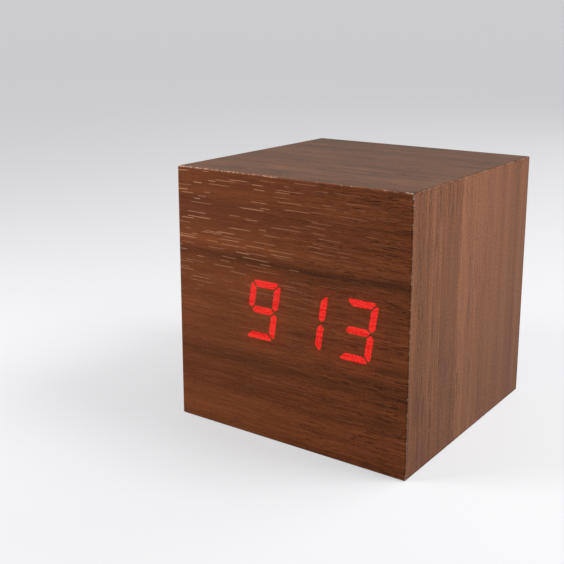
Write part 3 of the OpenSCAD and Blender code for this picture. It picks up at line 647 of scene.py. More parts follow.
def veneer_edge():
    """The cut edge of the front veneer, paler than its face by a painted highlight, and rubbed."""
    return plain_walnut("veneer_edge", *FRONT_GRAIN, wear=0.55,
                        tones=(linear(84, 48, 34), linear(112, 72, 54), linear(142, 100, 78)))


def pressed_fibre(name, base, fleck):
    """Fibreboard or raw softwood: short fibres in two tones."""
    material, tree, shader = new_material(name, 0.85, 0.2)
    fibres = tree.noise(tree.scaled(tree.place(), (1.4, 3.5, 3.5)), detail=4.0, roughness=0.7)
    tree.give(shader["Base Color"], tree.mix(tree.step(fibres, 0.35, 0.7), base, fleck))
    tree.give(shader["Normal"], tree.bump(fibres, strength=0.5, depth=0.08))
    return material


def plastic(name, base, tint, roughness, relief, specular=0.4, coat=0.0):
    """A moulded plastic with a fine surface and a faintly cloudy colour."""
    material, tree, shader = new_material(name, roughness, specular)
    texture = tree.effect("Moulded Texture", {"Place": tree.place()})
    tree.give(shader["Base Color"], tree.mix(tree.step(texture["Clouds"], 0.3, 0.7), base, tint))
    tree.give(shader["Roughness"], tree.plus(roughness, tree.swing(texture["Clouds"], 0.12)))
    tree.give(shader["Normal"], tree.bump(texture["Grain"], relief, depth=0.05))
    shader["Coat Weight"].default_value = coat
    return material


def housing_plastic(name, setting, *look):
    """A plastic whose colour is one of the housing's settings."""
    return plastic(name, getattr(bpy.context.scene.clock_housing, setting), *look)


def ink(name, base, shade, **look):
    """Print, whose clouds are a shade of its colour."""
    return plastic(name, base, [shade * value for value in base], **look)


# Colour of the painted shade in the recess of a screw
RECESS_PAINTED_SHADE = linear(46, 45, 45)


def metal(name, base, stain, roughness, recess=None):
    """A plated metal with fine scratches and faint stains.

    Recess is where it turns dark along Y by painted shade, as a start and an end.
    """
    material, tree, shader = new_material(name, roughness, metallic=1.0)
    place = tree.place()
    surface = tree.effect("Plated Surface", {"Place": place})
    plating = tree.mix(tree.step(surface["Stains"], 0.4, 0.75), base, stain)
    if recess:
        # Painted shade in the recess of the head
        plating = tree.mix(tree.step(tree.split(place)[1], *recess), plating, RECESS_PAINTED_SHADE)
    tree.give(shader["Base Color"], plating)
    tree.give(shader["Roughness"], tree.plus(roughness, tree.swing(surface["Scratches"], 0.2)))
    tree.give(shader["Normal"], tree.bump(surface["Scratches"], strength=0.12, depth=0.02))
    return material


def circuit_mask(name):
    """Green solder mask over copper tracks."""
    material, tree, shader = new_material(name, 0.35)
    place = tree.place()
    x, _, z = tree.split(place)
    tracks_in_mm = 0.55
    grid = tree.join(tree.times(x, tracks_in_mm), tree.times(z, tracks_in_mm))
    tracks = tree.step(tree.patches(grid), 0.5, 0.55)
    clouds = tree.effect("Moulded Texture", {"Place": place})["Clouds"]
    bare = tree.mix(clouds, linear(9, 62, 34), linear(14, 78, 44))
    tree.give(shader["Base Color"], tree.mix(tree.times(tracks, 0.5), bare, linear(26, 108, 62)))
    tree.give(shader["Normal"], tree.bump(tracks, strength=0.3, depth=0.04))
    return material


def glowing_resin(name):
    """The lit resin in the wells of the display."""
    display = bpy.context.scene.clock_display
    material, tree, shader = new_material(name, 0.3)
    clouds = tree.effect("Moulded Texture", {"Place": tree.place()})["Clouds"]
    tree.give(shader["Base Color"], tree.mix(clouds, linear(150, 20, 16), linear(190, 40, 30)))
    tree.give(shader["Emission Color"], tree.mix(clouds, display.dim, display.bright))
    shader["Emission Strength"].default_value = 1.0
    return material


# Finishes of the record's material slots: what makes each, and its colours and values in order
FINISHES = {
    "fibreboard": (pressed_fibre, linear(150, 118, 84), linear(172, 142, 106)),
    "softwood": (pressed_fibre, linear(196, 164, 120), linear(178, 140, 96)),
    "reflector_plastic": (plastic, linear(196, 196, 192), linear(184, 184, 180), 0.6, 0.2),
    "lit_resin": (glowing_resin,),
    "dark_resin": (plastic, linear(160, 156, 150), linear(150, 146, 140), 0.35, 0.1),
    "circuit_laminate": (circuit_mask,),
    "gold_plate": (metal, linear(232, 196, 118), linear(206, 164, 88), 0.25),
    "nickel": (metal, linear(206, 204, 198), linear(186, 182, 174), 0.26),
    "screw_steel": (metal, linear(168, 168, 170), linear(140, 140, 142), 0.34),
    "chip_resin": (plastic, linear(30, 30, 32), linear(38, 38, 40), 0.55, 0.4),
    "capacitor_sleeve": (plastic, linear(28, 36, 74), linear(34, 42, 84), 0.3, 0.1, 0.4, 0.3),
    "nylon": (plastic, linear(222, 218, 204), linear(212, 208, 192), 0.5, 0.15),
    "grey_pvc": (plastic, linear(150, 150, 152), linear(138, 138, 140), 0.45, 0.1),
    "red_pvc": (plastic, linear(176, 24, 22), linear(156, 18, 18), 0.4, 0.1),
    "black_pvc": (plastic, linear(26, 26, 27), linear(34, 34, 35), 0.4, 0.1),
    "black_abs": (housing_plastic, "shell", linear(39, 40, 42), 0.5, 0.75, 0.42),
    "button_abs": (housing_plastic, "button", linear(60, 61, 64), 0.36, 0.25, 0.5),
    "socket_plastic": (plastic, linear(22, 22, 23), linear(30, 30, 31), 0.28, 0.12, 0.5),
}


def finish_of(slot):
    """The finish of one of the record's material slots, made once."""
    name = "finish_" + slot
    make, *look = FINISHES[slot]
    return bpy.data.materials.get(name) or make(name, *look)


# Meshes


def dress(node, material):
    """Gives a CAD node a material."""
    mesh = frame["nodes"][node].data
    mesh.materials.clear()
    mesh.materials.append(material)


def dress_slots(*nodes):
    """Gives CAD nodes the finishes of their slots in the record."""
    for node in nodes:
        dress(node, finish_of(SLOTS[node]))


def soften(node, width, segments=2):
    """Rounds the sharp edges of a CAD node."""
    piece = frame["nodes"][node]
    weld = piece.modifiers.new("Joined Faces", "WELD")
    weld.merge_threshold = 0.001 * MM
    bevel = piece.modifiers.new("Soft Edges", "BEVEL")
    bevel.width = width * MM
    bevel.segments = segments
    bevel.limit_method = "ANGLE"
    bevel.angle_limit = math.radians(40)


def make_piece(name, shape, node, materials=None, stands_in=True, smooth=True):
    """Makes a piece of the case in the slot of a CAD node, with its finish unless materials are given.

    It stands in for the node, or only sits on it.
    """
    mesh = bpy.data.meshes.new(name)
    mesh.from_pydata([Vector(point) * MM for point in shape.points], [], shape.faces)
    if mesh.validate():
        raise RuntimeError(f"{name} has bad faces")
    for face in mesh.polygons:
        face.use_smooth = smooth
    for material in materials or [finish_of(SLOTS[node])]:
        mesh.materials.append(material)
    piece = bpy.data.objects.new(name, mesh)
    bpy.context.scene.collection.objects.link(piece)
    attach(piece, "case")
    if stands_in:
        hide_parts(node)
    return piece


def sharpen(piece, angle):
    """Keeps the edges of a smooth piece sharp where they turn by more than the angle."""
    mesh = bmesh.new()
    mesh.from_mesh(piece.data)
    for edge in mesh.edges:
        edge.smooth = edge.calc_face_angle(math.pi) < math.radians(angle)
    mesh.to_mesh(piece.data)
    mesh.free()


def ring_about(centre, radius, u, v, steps):
    """Points of a ring about a centre, in the plane of two directions."""
    angles = [2 * math.pi * k / steps for k in range(steps)]
    return [centre + radius * (math.cos(a) * u + math.sin(a) * v) for a in angles]


def heading(path, index):
    """Direction of a path at one of its points."""
    return (path[min(index + 1, len(path) - 1)] - path[max(index - 1, 0)]).normalized()


class Shape:
    """Points and faces of a piece, gathered part by part."""

    def __init__(self):
        self.points = []
        self.faces = []

    def strip(self, first, second, count):
        """Joins two rings of as many points, given by the numbers of their first points."""
        for k in range(count):
            after = (k + 1) % count
            self.faces.append((first + k, first + after, second + after, second + k))

    def rings(self, rings, ends="closed"):
        """Joins rings by strips of faces. Its ends are closed, open or, in a loop, joined to each other."""
        start, count = len(self.points), len(rings[0])
        for ring in rings:
            self.points.extend(ring)
        firsts = [start + row * count for row in range(len(rings))]
        for first, second in zip(firsts, firsts[1:]):
            self.strip(first, second, count)
        if ends == "loop":
            self.strip(firsts[-1], firsts[0], count)
        elif ends == "closed":
            self.faces.append(tuple(range(start + count - 1, start - 1, -1)))
            self.faces.append(tuple(range(firsts[-1], firsts[-1] + count)))

    def plate(self, outline, low, high):
        """Adds a flat plate with that outline in X and Z, between two places along Y."""
        self.rings([[Vector((x, y, z)) for x, z in outline] for y in (high, low)])

    def washer(self, centre, outer, inner, low, high, steps=40):
        """Adds a flat ring in X and Z, between two places along Y."""
        u, v = Vector((1, 0, 0)), Vector((0, 0, 1))
        stops = ((outer, high), (outer, low), (inner, low), (inner, high))
        self.rings([ring_about(Vector((centre[0], y, centre[1])), r, u, v, steps) for r, y in stops], "loop")

    def turn(self, profile, origin, axis, steps, ends="closed"):
        """Adds a profile of radius and distance, turned about an axis."""
        u = axis.orthogonal().normalized()
        v = axis.cross(u)
        self.rings([ring_about(origin + axis * along, r, u, v, steps) for r, along in profile], ends)

    def sweep(self, path, radius, sides, asides):
        """Adds a round tube along a path, its rings square to the path and turned to the vectors aside."""
        rings = []
        for index, (point, aside) in enumerate(zip(path, asides)):
            ahead = heading(path, index)
            u = (aside - ahead * aside.dot(ahead)).normalized()
            rings.append(ring_about(point, radius, u, ahead.cross(u), sides))
        self.rings(rings)


def arc(centre, radius, start, end, steps):
    """Points of an arc of a profile, from start to end in degrees."""
    angles = [math.radians(start + (end - start) * k / steps) for k in range(steps + 1)]
    return [(centre[0] + radius * math.cos(a), centre[1] + radius * math.sin(a)) for a in angles]


def bend(points, steps):
    """Points of a Bezier curve with three or four guiding points."""
    order = len(points) - 1
    path = []
    for k in range(steps + 1):
        s = k / steps
        weights = [math.comb(order, i) * s ** i * (1 - s) ** (order - i) for i in range(order + 1)]
        path.append(sum((w * p for w, p in zip(weights, points)), Vector((0, 0, 0))))
    return path


# Front veneer

# Signs of the corners of the front, in turn
CORNERS = ((1, 1), (-1, 1), (-1, -1), (1, -1))


def lit_outlines():
    """Outlines of the lit segments in X and Z, from the front of their resin."""
    mesh = frame["nodes"]["lit_segments"].data
    front = box_mm("lit_segments")[0].y
    ways = {}
    for face in mesh.polygons:
        corners = [mesh.vertices[index].co / MM for index in face.vertices]
        if all(abs(corner.y - front) < 0.001 for corner in corners):
            keys = [(round(corner.x, 3), round(corner.z, 3)) for corner in corners]
            for a, b in zip(keys, keys[1:] + keys[:1]):
                if ways.get(b, {}).pop(a, None) is None:
                    ways.setdefault(a, {})[b] = True
    outlines = []
    while any(ways.values()):
        here = next(key for key in ways if ways[key])
        outline = []
        while ways.get(here):
            outline.append(Vector(here))
            here = ways[here].popitem()[0]
        outlines.append(outline)
    return outlines


def rounded(outline, radius, steps=4):
    """An outline whose corners are rounded, each between the points at radius from it or nearer."""
    most = 0.45
    points = []
    for before, corner, after in zip(outline[-1:] + outline[:-1], outline, outline[1:] + outline[:1]):
        runs = (before - corner, after - corner)
        start, end = (corner + run * min(radius / run.length, most) for run in runs)
        for k in range(steps + 1):
            s = k / steps
            points.append(start * (1 - s) ** 2 + corner * (2 * s * (1 - s)) + end * s ** 2)
    return points


def light_distance(point, outlines):
    """Distance in X and Z from a point to the border of the nearest lit segment."""
    best = math.inf
    for outline in outlines:
        for a, b in zip(outline, outline[1:] + outline[:1]):
            run = b - a
            along = max(0.0, min(1.0, (point - a).dot(run) / run.length_squared))
            best = min(best, (point - a - run * along).length)
    return best


def soft_ring(half, radius, y, steps=4):
    """A square ring about the middle of the front, with rounded corners."""
    ring = []
    for turn, (sx, sz) in enumerate(CORNERS):
        centre = (sx * (half - radius), sz * (half - radius))
        start = 90 * turn
        ring += [Vector((px, y, HALF + pz)) for px, pz in arc(centre, radius, start, start + 90, steps)]
    return ring


class CLOCK_OT_front_veneer(bpy.types.Operator):
    """Makes the front veneer, which glows over the lit segments"""

    bl_idname = "clock.front_veneer"
    bl_label = "Front Veneer"

    edge_radius: length("Edge Radius", "Of the outer edges", 0.35)
    edge_steps: number("Edge Steps", "Faces across a rounded edge", 6)

    def execute(self, context):
        radius = self.edge_radius / MM
        reach, rounding, net = in_mm(context.scene.clock_display, "halo_reach", "rounding", "net")
        outlines = [rounded(outline, rounding) for outline in lit_outlines()]
        flat = HALF - radius
        points = [Vector((sx * flat, HALF + sz * flat)) for sx, sz in CORNERS]
        loops = [list(range(len(points)))]
        for outline in outlines:
            loops.append(list(range(len(points), len(points) + len(outline))))
            points.extend(outline)
        points.extend(self.net_points(outlines, reach, net))
        found, _, faces, _, _, sources = delaunay_2d_cdt(points, [], loops, 1, 1e-5)
        sheet = Shape()
        sheet.points = [Vector((p.x, FACE_LOW.y, p.y)) for p in found]
        sheet.faces = [tuple(face) for face in faces]
        self.rim(sheet, radius)
        materials = [front_walnut(), lit_veneer(), veneer_edge()]
        face_finish, lit_finish, edge_finish = range(len(materials))
        piece = make_piece("front_sheet", sheet, "front_veneer", materials)
        for face, owners in zip(piece.data.polygons, sources):
            face.material_index = lit_finish if any(owner > 0 for owner in owners) else face_finish
            face.use_smooth = False
        for face in piece.data.polygons[len(faces):]:
            face.material_index = edge_finish if abs(face.normal.y) < 0.5 else face_finish
        glow = piece.data.attributes.new("light_distance", "FLOAT", "POINT")
        for value, point in zip(glow.data, sheet.points):
            value.value = light_distance(Vector((point.x, point.z)), outlines)
        self.join_seams(piece)
        return {"FINISHED"}

    @staticmethod
    def net_points(outlines, reach, spacing):
        """Points of a net round the lit segments, clear of their borders."""
        xs, zs = zip(*(point for outline in outlines for point in outline))
        across, up = (int((max(line) - min(line) + 2 * reach) / spacing) + 2 for line in (xs, zs))
        net = [Vector((min(xs) - reach + i * spacing, min(zs) - reach + k * spacing))
               for i in range(across) for k in range(up)]
        return [point for point in net if 0.2 * spacing < light_distance(point, outlines) < reach + spacing]

    def rim(self, sheet, radius):
        """Adds the rounded edges, the sides and the back to the flat front."""
        rings = []
        for k in range(self.edge_steps + 1):
            a = math.pi / 2 * k / self.edge_steps
            aside, behind = radius * math.sin(a), radius * (1 - math.cos(a))
            rings.append(soft_ring(HALF - radius + aside, aside, FACE_LOW.y + behind))
        rings.append(soft_ring(HALF, radius, FACE_HIGH.y))
        sheet.rings(rings, "open")
        sheet.faces.append(tuple(range(len(sheet.points) - len(rings[-1]), len(sheet.points))))

    @staticmethod
    def join_seams(piece):
        """Joins the flat front and its rounded rim."""
        mesh = bmesh.new()
        mesh.from_mesh(piece.data)
        bmesh.ops.remove_doubles(mesh, verts=mesh.verts, dist=0.0005 * MM)
        bmesh.ops.recalc_face_normals(mesh, faces=mesh.faces)
        mesh.to_mesh(piece.data)
        mesh.free()


# Case

SIDE_LOOK = {
    "wood": "side", "fibres": 0.9, "stretch": 3.2, "fineness": 0.8, "pores": 0.6, "specks": 0.8,
    "calm_and_sheen": ("y", -0.3 * HALF, 0.5 * HALF),
}
TOP_LOOK = {
    "wood": "top", "fibres": 1.8, "stretch": 1.3, "fineness": 0.7, "pores": 0.5, "specks": 1.0,
    "figure_share": 0.6, "calm_and_sheen": ("y", -HALF, 2.0 * HALF),
}
BANDING_LOOK = {
    "wood": "banding", "fibres": 1.7, "stretch": 1.6, "pores": 0.8, "specks": 0.5, "figure_share": 0.7,
}


class CLOCK_OT_case_veneers(bpy.types.Operator):
    """Finishes the veneer of the four walls and the banding of their rear edges"""

    bl_idname = "clock.case_veneers"
    bl_label = "Case Veneers"

    def execute(self, context):
        dress("right_veneer", plain_walnut("right_walnut", "z", "y", RIGHT_FIGURE, 2.0, wear=0.5,
                                           figure_share=0.34, foot=0.11, **SIDE_LOOK))
        dress("left_veneer", plain_walnut("left_walnut", "z", "y", EVEN_FIGURE, 3.0, **SIDE_LOOK))
        dress("top_veneer", plain_walnut("top_walnut", "x", "y", TOP_FIGURE, 4.0, wear=0.25, **TOP_LOOK))
        dress("bottom_veneer", plain_walnut("bottom_walnut", "x", "y", EVEN_FIGURE, 5.0))
        level = plain_walnut("level_banding", "x", "z", EVEN_FIGURE, 6.0, **BANDING_LOOK)
        upright = plain_walnut("upright_banding", "z", "x", EVEN_FIGURE, 7.0, **BANDING_LOOK)
        for side, material in (("top", level), ("bottom", level), ("right", upright), ("left", upright)):
            dress(side + "_banding", material)
        return {"FINISHED"}


class CLOCK_OT_boards(bpy.types.Operator):
    """Finishes the fibreboard walls and the glue blocks"""

    bl_idname = "clock.boards"
    bl_label = "Boards"

    def execute(self, context):
        dress_slots("top_board", "right_board", "bottom_board", "left_board", "front_board", "corner_blocks")
        return {"FINISHED"}


# Display and electronics


class CLOCK_OT_display(bpy.types.Operator):
    """Finishes the display behind the front veneer"""

    bl_idname = "clock.display"
    bl_label = "Display"

    def execute(self, context):
        dress_slots("display_reflector", "lit_segments", "dark_segments", "display_substrate", "led_chips",
                    "display_pins")
        return {"FINISHED"}


class CLOCK_OT_electronics(bpy.types.Operator):
    """Finishes the circuit boards and what is on them"""

    bl_idname = "clock.electronics"
    bl_label = "Electronics"

    def execute(self, context):
        dress_slots("main_board", "board_spacers", "board_screws", "controller_chip", "quartz_crystal",
                    "buzzer", "smoothing_capacitor", "coin_cell_holder", "coin_cell", "ribbon_headers",
                    "switch_bodies", "button_board", "button_board_screws")
        return {"FINISHED"}


class CLOCK_OT_leads(bpy.types.Operator):
    """Makes the leads of the cells and the socket, and the ribbon between the boards"""

    bl_idname = "clock.leads"
    bl_label = "Leads"

    sides: number("Sides", "Of a lead's round", 14, 6)
    steps: number("Steps", "Along a lead", 40, 8)
    strands: number("Strands", "Of the ribbon", 6)
    ribbon_thickness: length("Ribbon Thickness", "At the middle of a strand", 1.0)
    ribbon_web: length("Ribbon Web", "Thickness between the strands", 0.4)
    ribbon_sag: length("Ribbon Sag", "At the middle of the ribbon", 3.0)
    ribbon_inset: length("Ribbon Inset", "From the edge of a header to the ribbon", 2.0)

    def execute(self, context):
        for node, routes in LEAD_ROUTES.items():
            shape = Shape()
            for start, end in routes:
                self.lead(shape, Vector(start), Vector(end))
            make_piece(node + "_wire", shape, node)
        self.ribbon("ribbon_cable")
        return {"FINISHED"}

    def lead(self, shape, start, end):
        """A lead that leaves both ends along Y and bends between them."""
        stub, reach = Vector((0, LEAD_WIDTH, 0)), Vector((0, LEAD_REACH, 0))
        a, d = start - stub, end + stub
        path = [start, *bend((a, a - reach, d + reach, d), self.steps), end]
        shape.sweep(path, LEAD_WIDTH / 2, self.sides, [Vector((0, 0, 1))] * len(path))

    def ribbon(self, node):
        """A flat cable of round strands side by side, in a plane across X."""
        low, high = box_mm(node)
        headers_low, headers_high = box_mm("ribbon_headers")
        thick, web, sag, inset = in_mm(self, "ribbon_thickness", "ribbon_web", "ribbon_sag", "ribbon_inset")
        middle, width = (low.x + high.x) / 2, high.x - low.x
        start_z, end_z = headers_low.z + inset, headers_high.z - inset
        pitch = width / self.strands
        lean = math.degrees(math.asin(web / thick))
        strand = arc((0, 0), thick / 2, 180 - lean, lean, 6)
        outline = []
        for k in range(self.strands):
            centre = -width / 2 + (k + 0.5) * pitch
            outline += [(centre + x * pitch / thick, h) for x, h in strand]
        outline += [(x, -h) for x, h in reversed(outline)]
        path = []
        for k in range(self.steps + 1):
            s = k / self.steps
            rise = (1 - math.cos(math.pi * s)) / 2 * (end_z - start_z)
            height = start_z + rise - sag * math.sin(math.pi * s) ** 2
            path.append(Vector((middle, low.y + s * (high.y - low.y), height)))
        rings = []
        for index, point in enumerate(path):
            up = Vector((1, 0, 0)).cross(heading(path, index))
            rings.append([point + Vector((x, 0, 0)) + h * up for x, h in outline])
        shape = Shape()
        shape.rings(rings)
        sharpen(make_piece("ribbon_strands", shape, node), angle=60)


# Rear housing, cells and controls


class CLOCK_OT_housing(bpy.types.Operator):
    """Finishes the rear housing, its screws and the battery door"""

    bl_idname = "clock.housing"
    bl_label = "Rear Housing"

    # Where the painted shade in the recesses of the screws starts and ends
    grime_start: length("Painted Shade Start", "Below the face of a screw", 0.2)
    grime_end: length("Painted Shade End", "Below the face of a screw, where its recess is all dark", 0.45)

    def execute(self, context):
        dress_slots("rear_housing", "battery_door")
        recess = [PANEL_Y - depth for depth in in_mm(self, "grime_start", "grime_end")]
        dress("housing_screws", metal("recessed_steel", *FINISHES["screw_steel"][1:], recess))
        for node in ("rear_housing", "battery_door"):
            soften(node, context.scene.clock_housing.edge / MM)
        soften("housing_screws", width=0.1)
        return {"FINISHED"}


def cells():
    """Middle of each cell's negative end, and the way of its nub: 1 to the right, -1 to the left."""
    low, high = box_mm("cell_jackets")
    radius = (high.y - low.y) / 2
    pitch = (high.z - low.z - 2 * radius) / (CELL_COUNT - 1)
    end = box_mm("battery_cells")[1].x - bpy.context.scene.clock_cells.spring_length / MM
    for k in range(CELL_COUNT):
        way = 1 if k % 2 == 0 else -1
        yield Vector((-way * end, low.y + radius, low.z + radius + k * pitch)), way


class CLOCK_OT_cells(bpy.types.Operator):
    """Makes the cells: turned steel cans in printed jackets"""

    bl_idname = "clock.cells"
    bl_label = "Cells"

    turn_steps: number("Turn Steps", "Sides of a turned piece", 64, 12)
    can_inset: length("Can Inset", "From the outside of a jacket to its can", 0.2)
    mark_reach: length("Mark Reach", "From the middle of a plus to its ends", 1.7)
    mark_line: length("Mark Line", "Half the width of a plus's bars", 0.4)

    def execute(self, context):
        settings = context.scene.clock_cells
        nub_diameter, nub_height, band_width, spring = in_mm(
            settings, "nub_diameter", "nub_height", "band_width", "spring_length"
        )
        inset, arm, line = in_mm(self, "can_inset", "mark_reach", "mark_line")
        low, high = box_mm("cell_jackets")
        radius = (high.y - low.y) / 2
        cell_low, cell_high = box_mm("battery_cells")
        reach = cell_high.x - cell_low.x - spring
        body = reach - nub_height
        middle = body - band_width / 2
        can = self.can(radius - inset, body, reach, nub_diameter / 2)
        bars = (((-line, line), (-arm, arm)), ((line, arm), (-line, line)), ((-arm, -line), (-line, line)))
        cans, jackets, marks = Shape(), Shape(), Shape()
        band_faces = []
        for origin, way in cells():
            axis = Vector((way, 0, 0))
            cans.turn(can, origin, axis, self.turn_steps)
            band_faces += self.jacket(jackets, radius, body, band_width, origin, axis)
            for along, aside in bars:
                self.mark(marks, radius, origin, way, [middle + a for a in along], aside)
        sharpen(make_piece("cell_cans", cans, "battery_cells"), angle=50)
        gloss = {"roughness": 0.28, "relief": 0.05, "coat": 0.3}
        light = ink("jacket_print", settings.jacket, 0.92, **gloss)
        dark = ink("band_print", settings.band, 0.85, **gloss)
        sleeves = make_piece("cell_sleeves", jackets, "cell_jackets", [light, dark])
        for index in band_faces:
            sleeves.data.polygons[index].material_index = 1
        sharpen(sleeves, angle=50)
        white = ink("mark_print", context.scene.clock_housing.print, 0.94, roughness=0.4, relief=0.05)
        make_piece("cell_marks", marks, "cell_jackets", [white], stands_in=False)
        return {"FINISHED"}

    @staticmethod
    def can(radius, body, reach, nub):
        """Profile of a cell from its flat negative end to its positive nub."""
        groove, fillet, nub_fillet = 0.3, 0.7, 0.25
        disc = [(radius - 1.9, 0.0), (radius - 1.6, 0.06), (radius - 1.45, groove), (radius - 1.1, groove)]
        rim = arc((radius - fillet, fillet), fillet, 240, 360, 6)
        shoulder = arc((radius - fillet, body - fillet), fillet, 0, 90, 6)
        crown = [(nub + 0.9, body), (nub + 0.55, body + 0.05), (nub + 0.12, body + 0.2), (nub, body + 0.4)]
        tip = arc((nub - nub_fillet, reach - nub_fillet), nub_fillet, 0, 90, 4)
        return disc + rim + shoulder + crown + tip

    def jacket(self, shape, radius, body, band_width, origin, axis):
        """A thin printed sleeve that is shrunk over the shoulders of the can.

        Returns its dark faces: a line round the jacket, and the band at its positive end.
        """
        lip, thick, fold, line_start, line_end = 0.25, 0.13, 0.8, 2.2, 1.5
        band = body - band_width
        outer = arc((radius - fold, lip + fold), fold, 245, 360, 6)
        line_row = len(outer)
        band_row = line_row + 2
        outer += [(radius, band - line_start), (radius, band - line_end), (radius, band)]
        outer += arc((radius - fold, body - lip - fold), fold, 0, 115, 6)
        lowest, highest = lip + 2 * thick, body - lip - 2 * thick
        inner = [(r - thick, min(max(along, lowest), highest)) for r, along in reversed(outer)]
        first = len(shape.faces)
        shape.turn(outer + inner, origin, axis, self.turn_steps, "loop")
        rows = [line_row, *range(band_row, len(outer) - 1)]
        return [first + row * self.turn_steps + k for row in rows for k in range(self.turn_steps)]

    @staticmethod
    def mark(shape, radius, origin, way, along, aside):
        """A printed bar on the side of a cell that faces the door."""
        proud, sunk, columns = 0.015, 0.05, 8
        corners = [(radius - sunk, along[0]), (radius - sunk, along[1]),
                   (radius + proud, along[1]), (radius + proud, along[0])]
        rings = []
        for k in range(columns + 1):
            angle = way * (aside[0] + (aside[1] - aside[0]) * k / columns) / radius
            out = Vector((0, math.cos(angle), math.sin(angle)))
            rings.append([origin + r * out + Vector((way * a, 0, 0)) for r, a in corners])
        shape.rings(rings)


class CLOCK_OT_contacts(bpy.types.Operator):
    """Finishes the contact plates and winds the springs that press on the cells"""

    bl_idname = "clock.contacts"
    bl_label = "Contacts"

    sides: number("Sides", "Of the wire's round", 12, 6)
    turn_rings: number("Turn Rings", "Rings of the wire in a turn", 30, 8)

    def execute(self, context):
        dress_slots(*CONTACTS)
        for node in CONTACTS:
            soften(node, width=0.06)
        settings = context.scene.clock_cells
        shape = Shape()
        for origin, way in cells():
            self.spring(shape, settings, origin, way)
        make_piece("spring_wires", shape, "contact_springs")
        return {"FINISHED"}

    def spring(self, shape, settings, origin, way):
        """A conical spring, whose wire leaves its plate and meets the cell square to them."""
        rise, base, tip, wire = in_mm(settings, "spring_length", "spring_base", "spring_tip", "spring_wire")
        plate = origin - Vector((way * rise, 0, 0))

        def radial(s):
            angle = 2 * math.pi * settings.spring_turns * s
            return Vector((0, math.cos(angle), math.sin(angle)))

        def spot(s, height):
            return plate + (base + s * (tip - base)) * radial(s) + Vector((way * height, 0, 0))

        def wound(s):
            return spot(s, wire + s * (rise - 2 * wire))

        corner, bend_steps = 0.03, 6
        count = int(self.turn_rings * settings.spring_turns)
        shares = [corner + (1 - 2 * corner) * k / count for k in range(1, count)]
        foot = bend((spot(0, 0), spot(0, wire), wound(corner)), bend_steps)
        head = bend((wound(1 - corner), spot(1, rise - wire), spot(1, rise)), bend_steps)
        path = foot + [wound(s) for s in shares] + head
        asides = [radial(0)] * len(foot) + [radial(s) for s in shares] + [radial(1)] * len(head)
        shape.sweep(path, wire / 2, self.sides, asides)


class CLOCK_OT_controls(bpy.types.Operator):
    """Finishes the buttons, the plungers and the power socket"""

    bl_idname = "clock.controls"
    bl_label = "Controls"

    def execute(self, context):
        dress_slots(*BUTTONS, "set_plunger", "up_plunger", "down_plunger", "power_socket", "socket_pin")
        for node in BUTTONS:
            soften(node, width=0.3, segments=4)
        soften("power_socket", width=0.12)
        soften("socket_pin", width=0.25)
        return {"FINISHED"}


class CLOCK_OT_marks(bpy.types.Operator):
    """Makes the raised marks beside the buttons and the power socket"""

    bl_idname = "clock.marks"
    bl_label = "Marks"

    rise: length("Rise", "Of the marks above the panel", 0.08)
    root: length("Root", "Of the marks below the face of the panel", 0.05)
    gap: length("Gap", "From the rim of a button to its mark", 1.75)
    half_size: length("Half Size", "Of a mark", 0.95)

    def execute(self, context):
        rise, root, gap, size = in_mm(self, "rise", "root", "gap", "half_size")
        faces = PANEL_Y - root, PANEL_Y + rise
        height = box_mm("set_button")[1].z + gap
        set_x, up_x, down_x, socket_x = (sum(corner.x for corner in box_mm(node)) / 2
                                         for node in (*BUTTONS, "power_socket"))
        ring, dot = 0.62 * size, 0.26 * size
        shape = Shape()
        shape.washer((set_x, height), size, ring, *faces)
        shape.plate(arc((set_x, height), dot, 0, 345, 23), *faces)
        for x, way in ((up_x, 1), (down_x, -1)):
            shape.plate(arc((x, height), size, 90 * way, 90 * way + 240, 2), *faces)
        for outline in self.polarity(socket_x, height, size):
            shape.plate(outline, *faces)
        white = ink("panel_print", context.scene.clock_housing.print, 0.94, roughness=0.45, relief=0.1)
        make_piece("panel_marks", shape, "rear_housing", [white], stands_in=False, smooth=False)
        return {"FINISHED"}

    @staticmethod
    def polarity(x, height, size):
        """The sign of a socket whose pin is positive: plus, a dot in an open ring, minus, from -X to +X."""
        line, bar, reach = 0.11 * size, 0.55 * size, 1.5 * size
        dot, inner, outer, end = 0.26 * size, 0.55 * size, 0.75 * size, 2.3 * size
        opening = 140

        def leaves(radius):
            return math.degrees(math.asin(line / radius))

        centre = (x, height)
        yield [*arc(centre, dot, leaves(dot) - 180, 180 - leaves(dot), 22),
               (x - reach, height + line), (x - reach, height - line)]
        yield [*arc(centre, outer, -opening, -leaves(outer), 14),
               (x + reach, height - line), (x + reach, height + line),
               *arc(centre, outer, leaves(outer), opening, 14), *arc(centre, inner, opening, -opening, 28)]
        yield [(x + end + px, height + pz)
               for px, pz in ((-bar, -line), (bar, -line), (bar, line), (-bar, line))]
        arm = [(bar, -line), (bar, line), (line, line)]
        for _ in range(3):
            arm += [(-pz, px) for px, pz in arm[-3:]]
        yield [(x - end + px, height + pz) for px, pz in arm]


# Stage

# Place and side of each lamp
LAMPS = {
    "right_lamp": ((220, 70, 330), 160),
    "front_lamp": ((-215, -205, 185), 150),
    "rear_lamp": ((260, 520, 300), 340),
}


def looked_at(tree):
    """1 for what the camera sees, straight or in a reflection."""
    path = tree.add("LightPath").outputs
    return tree.larger(path["Is Camera Ray"], tree.larger(path["Is Glossy Ray"], path["Is Transmission Ray"]))


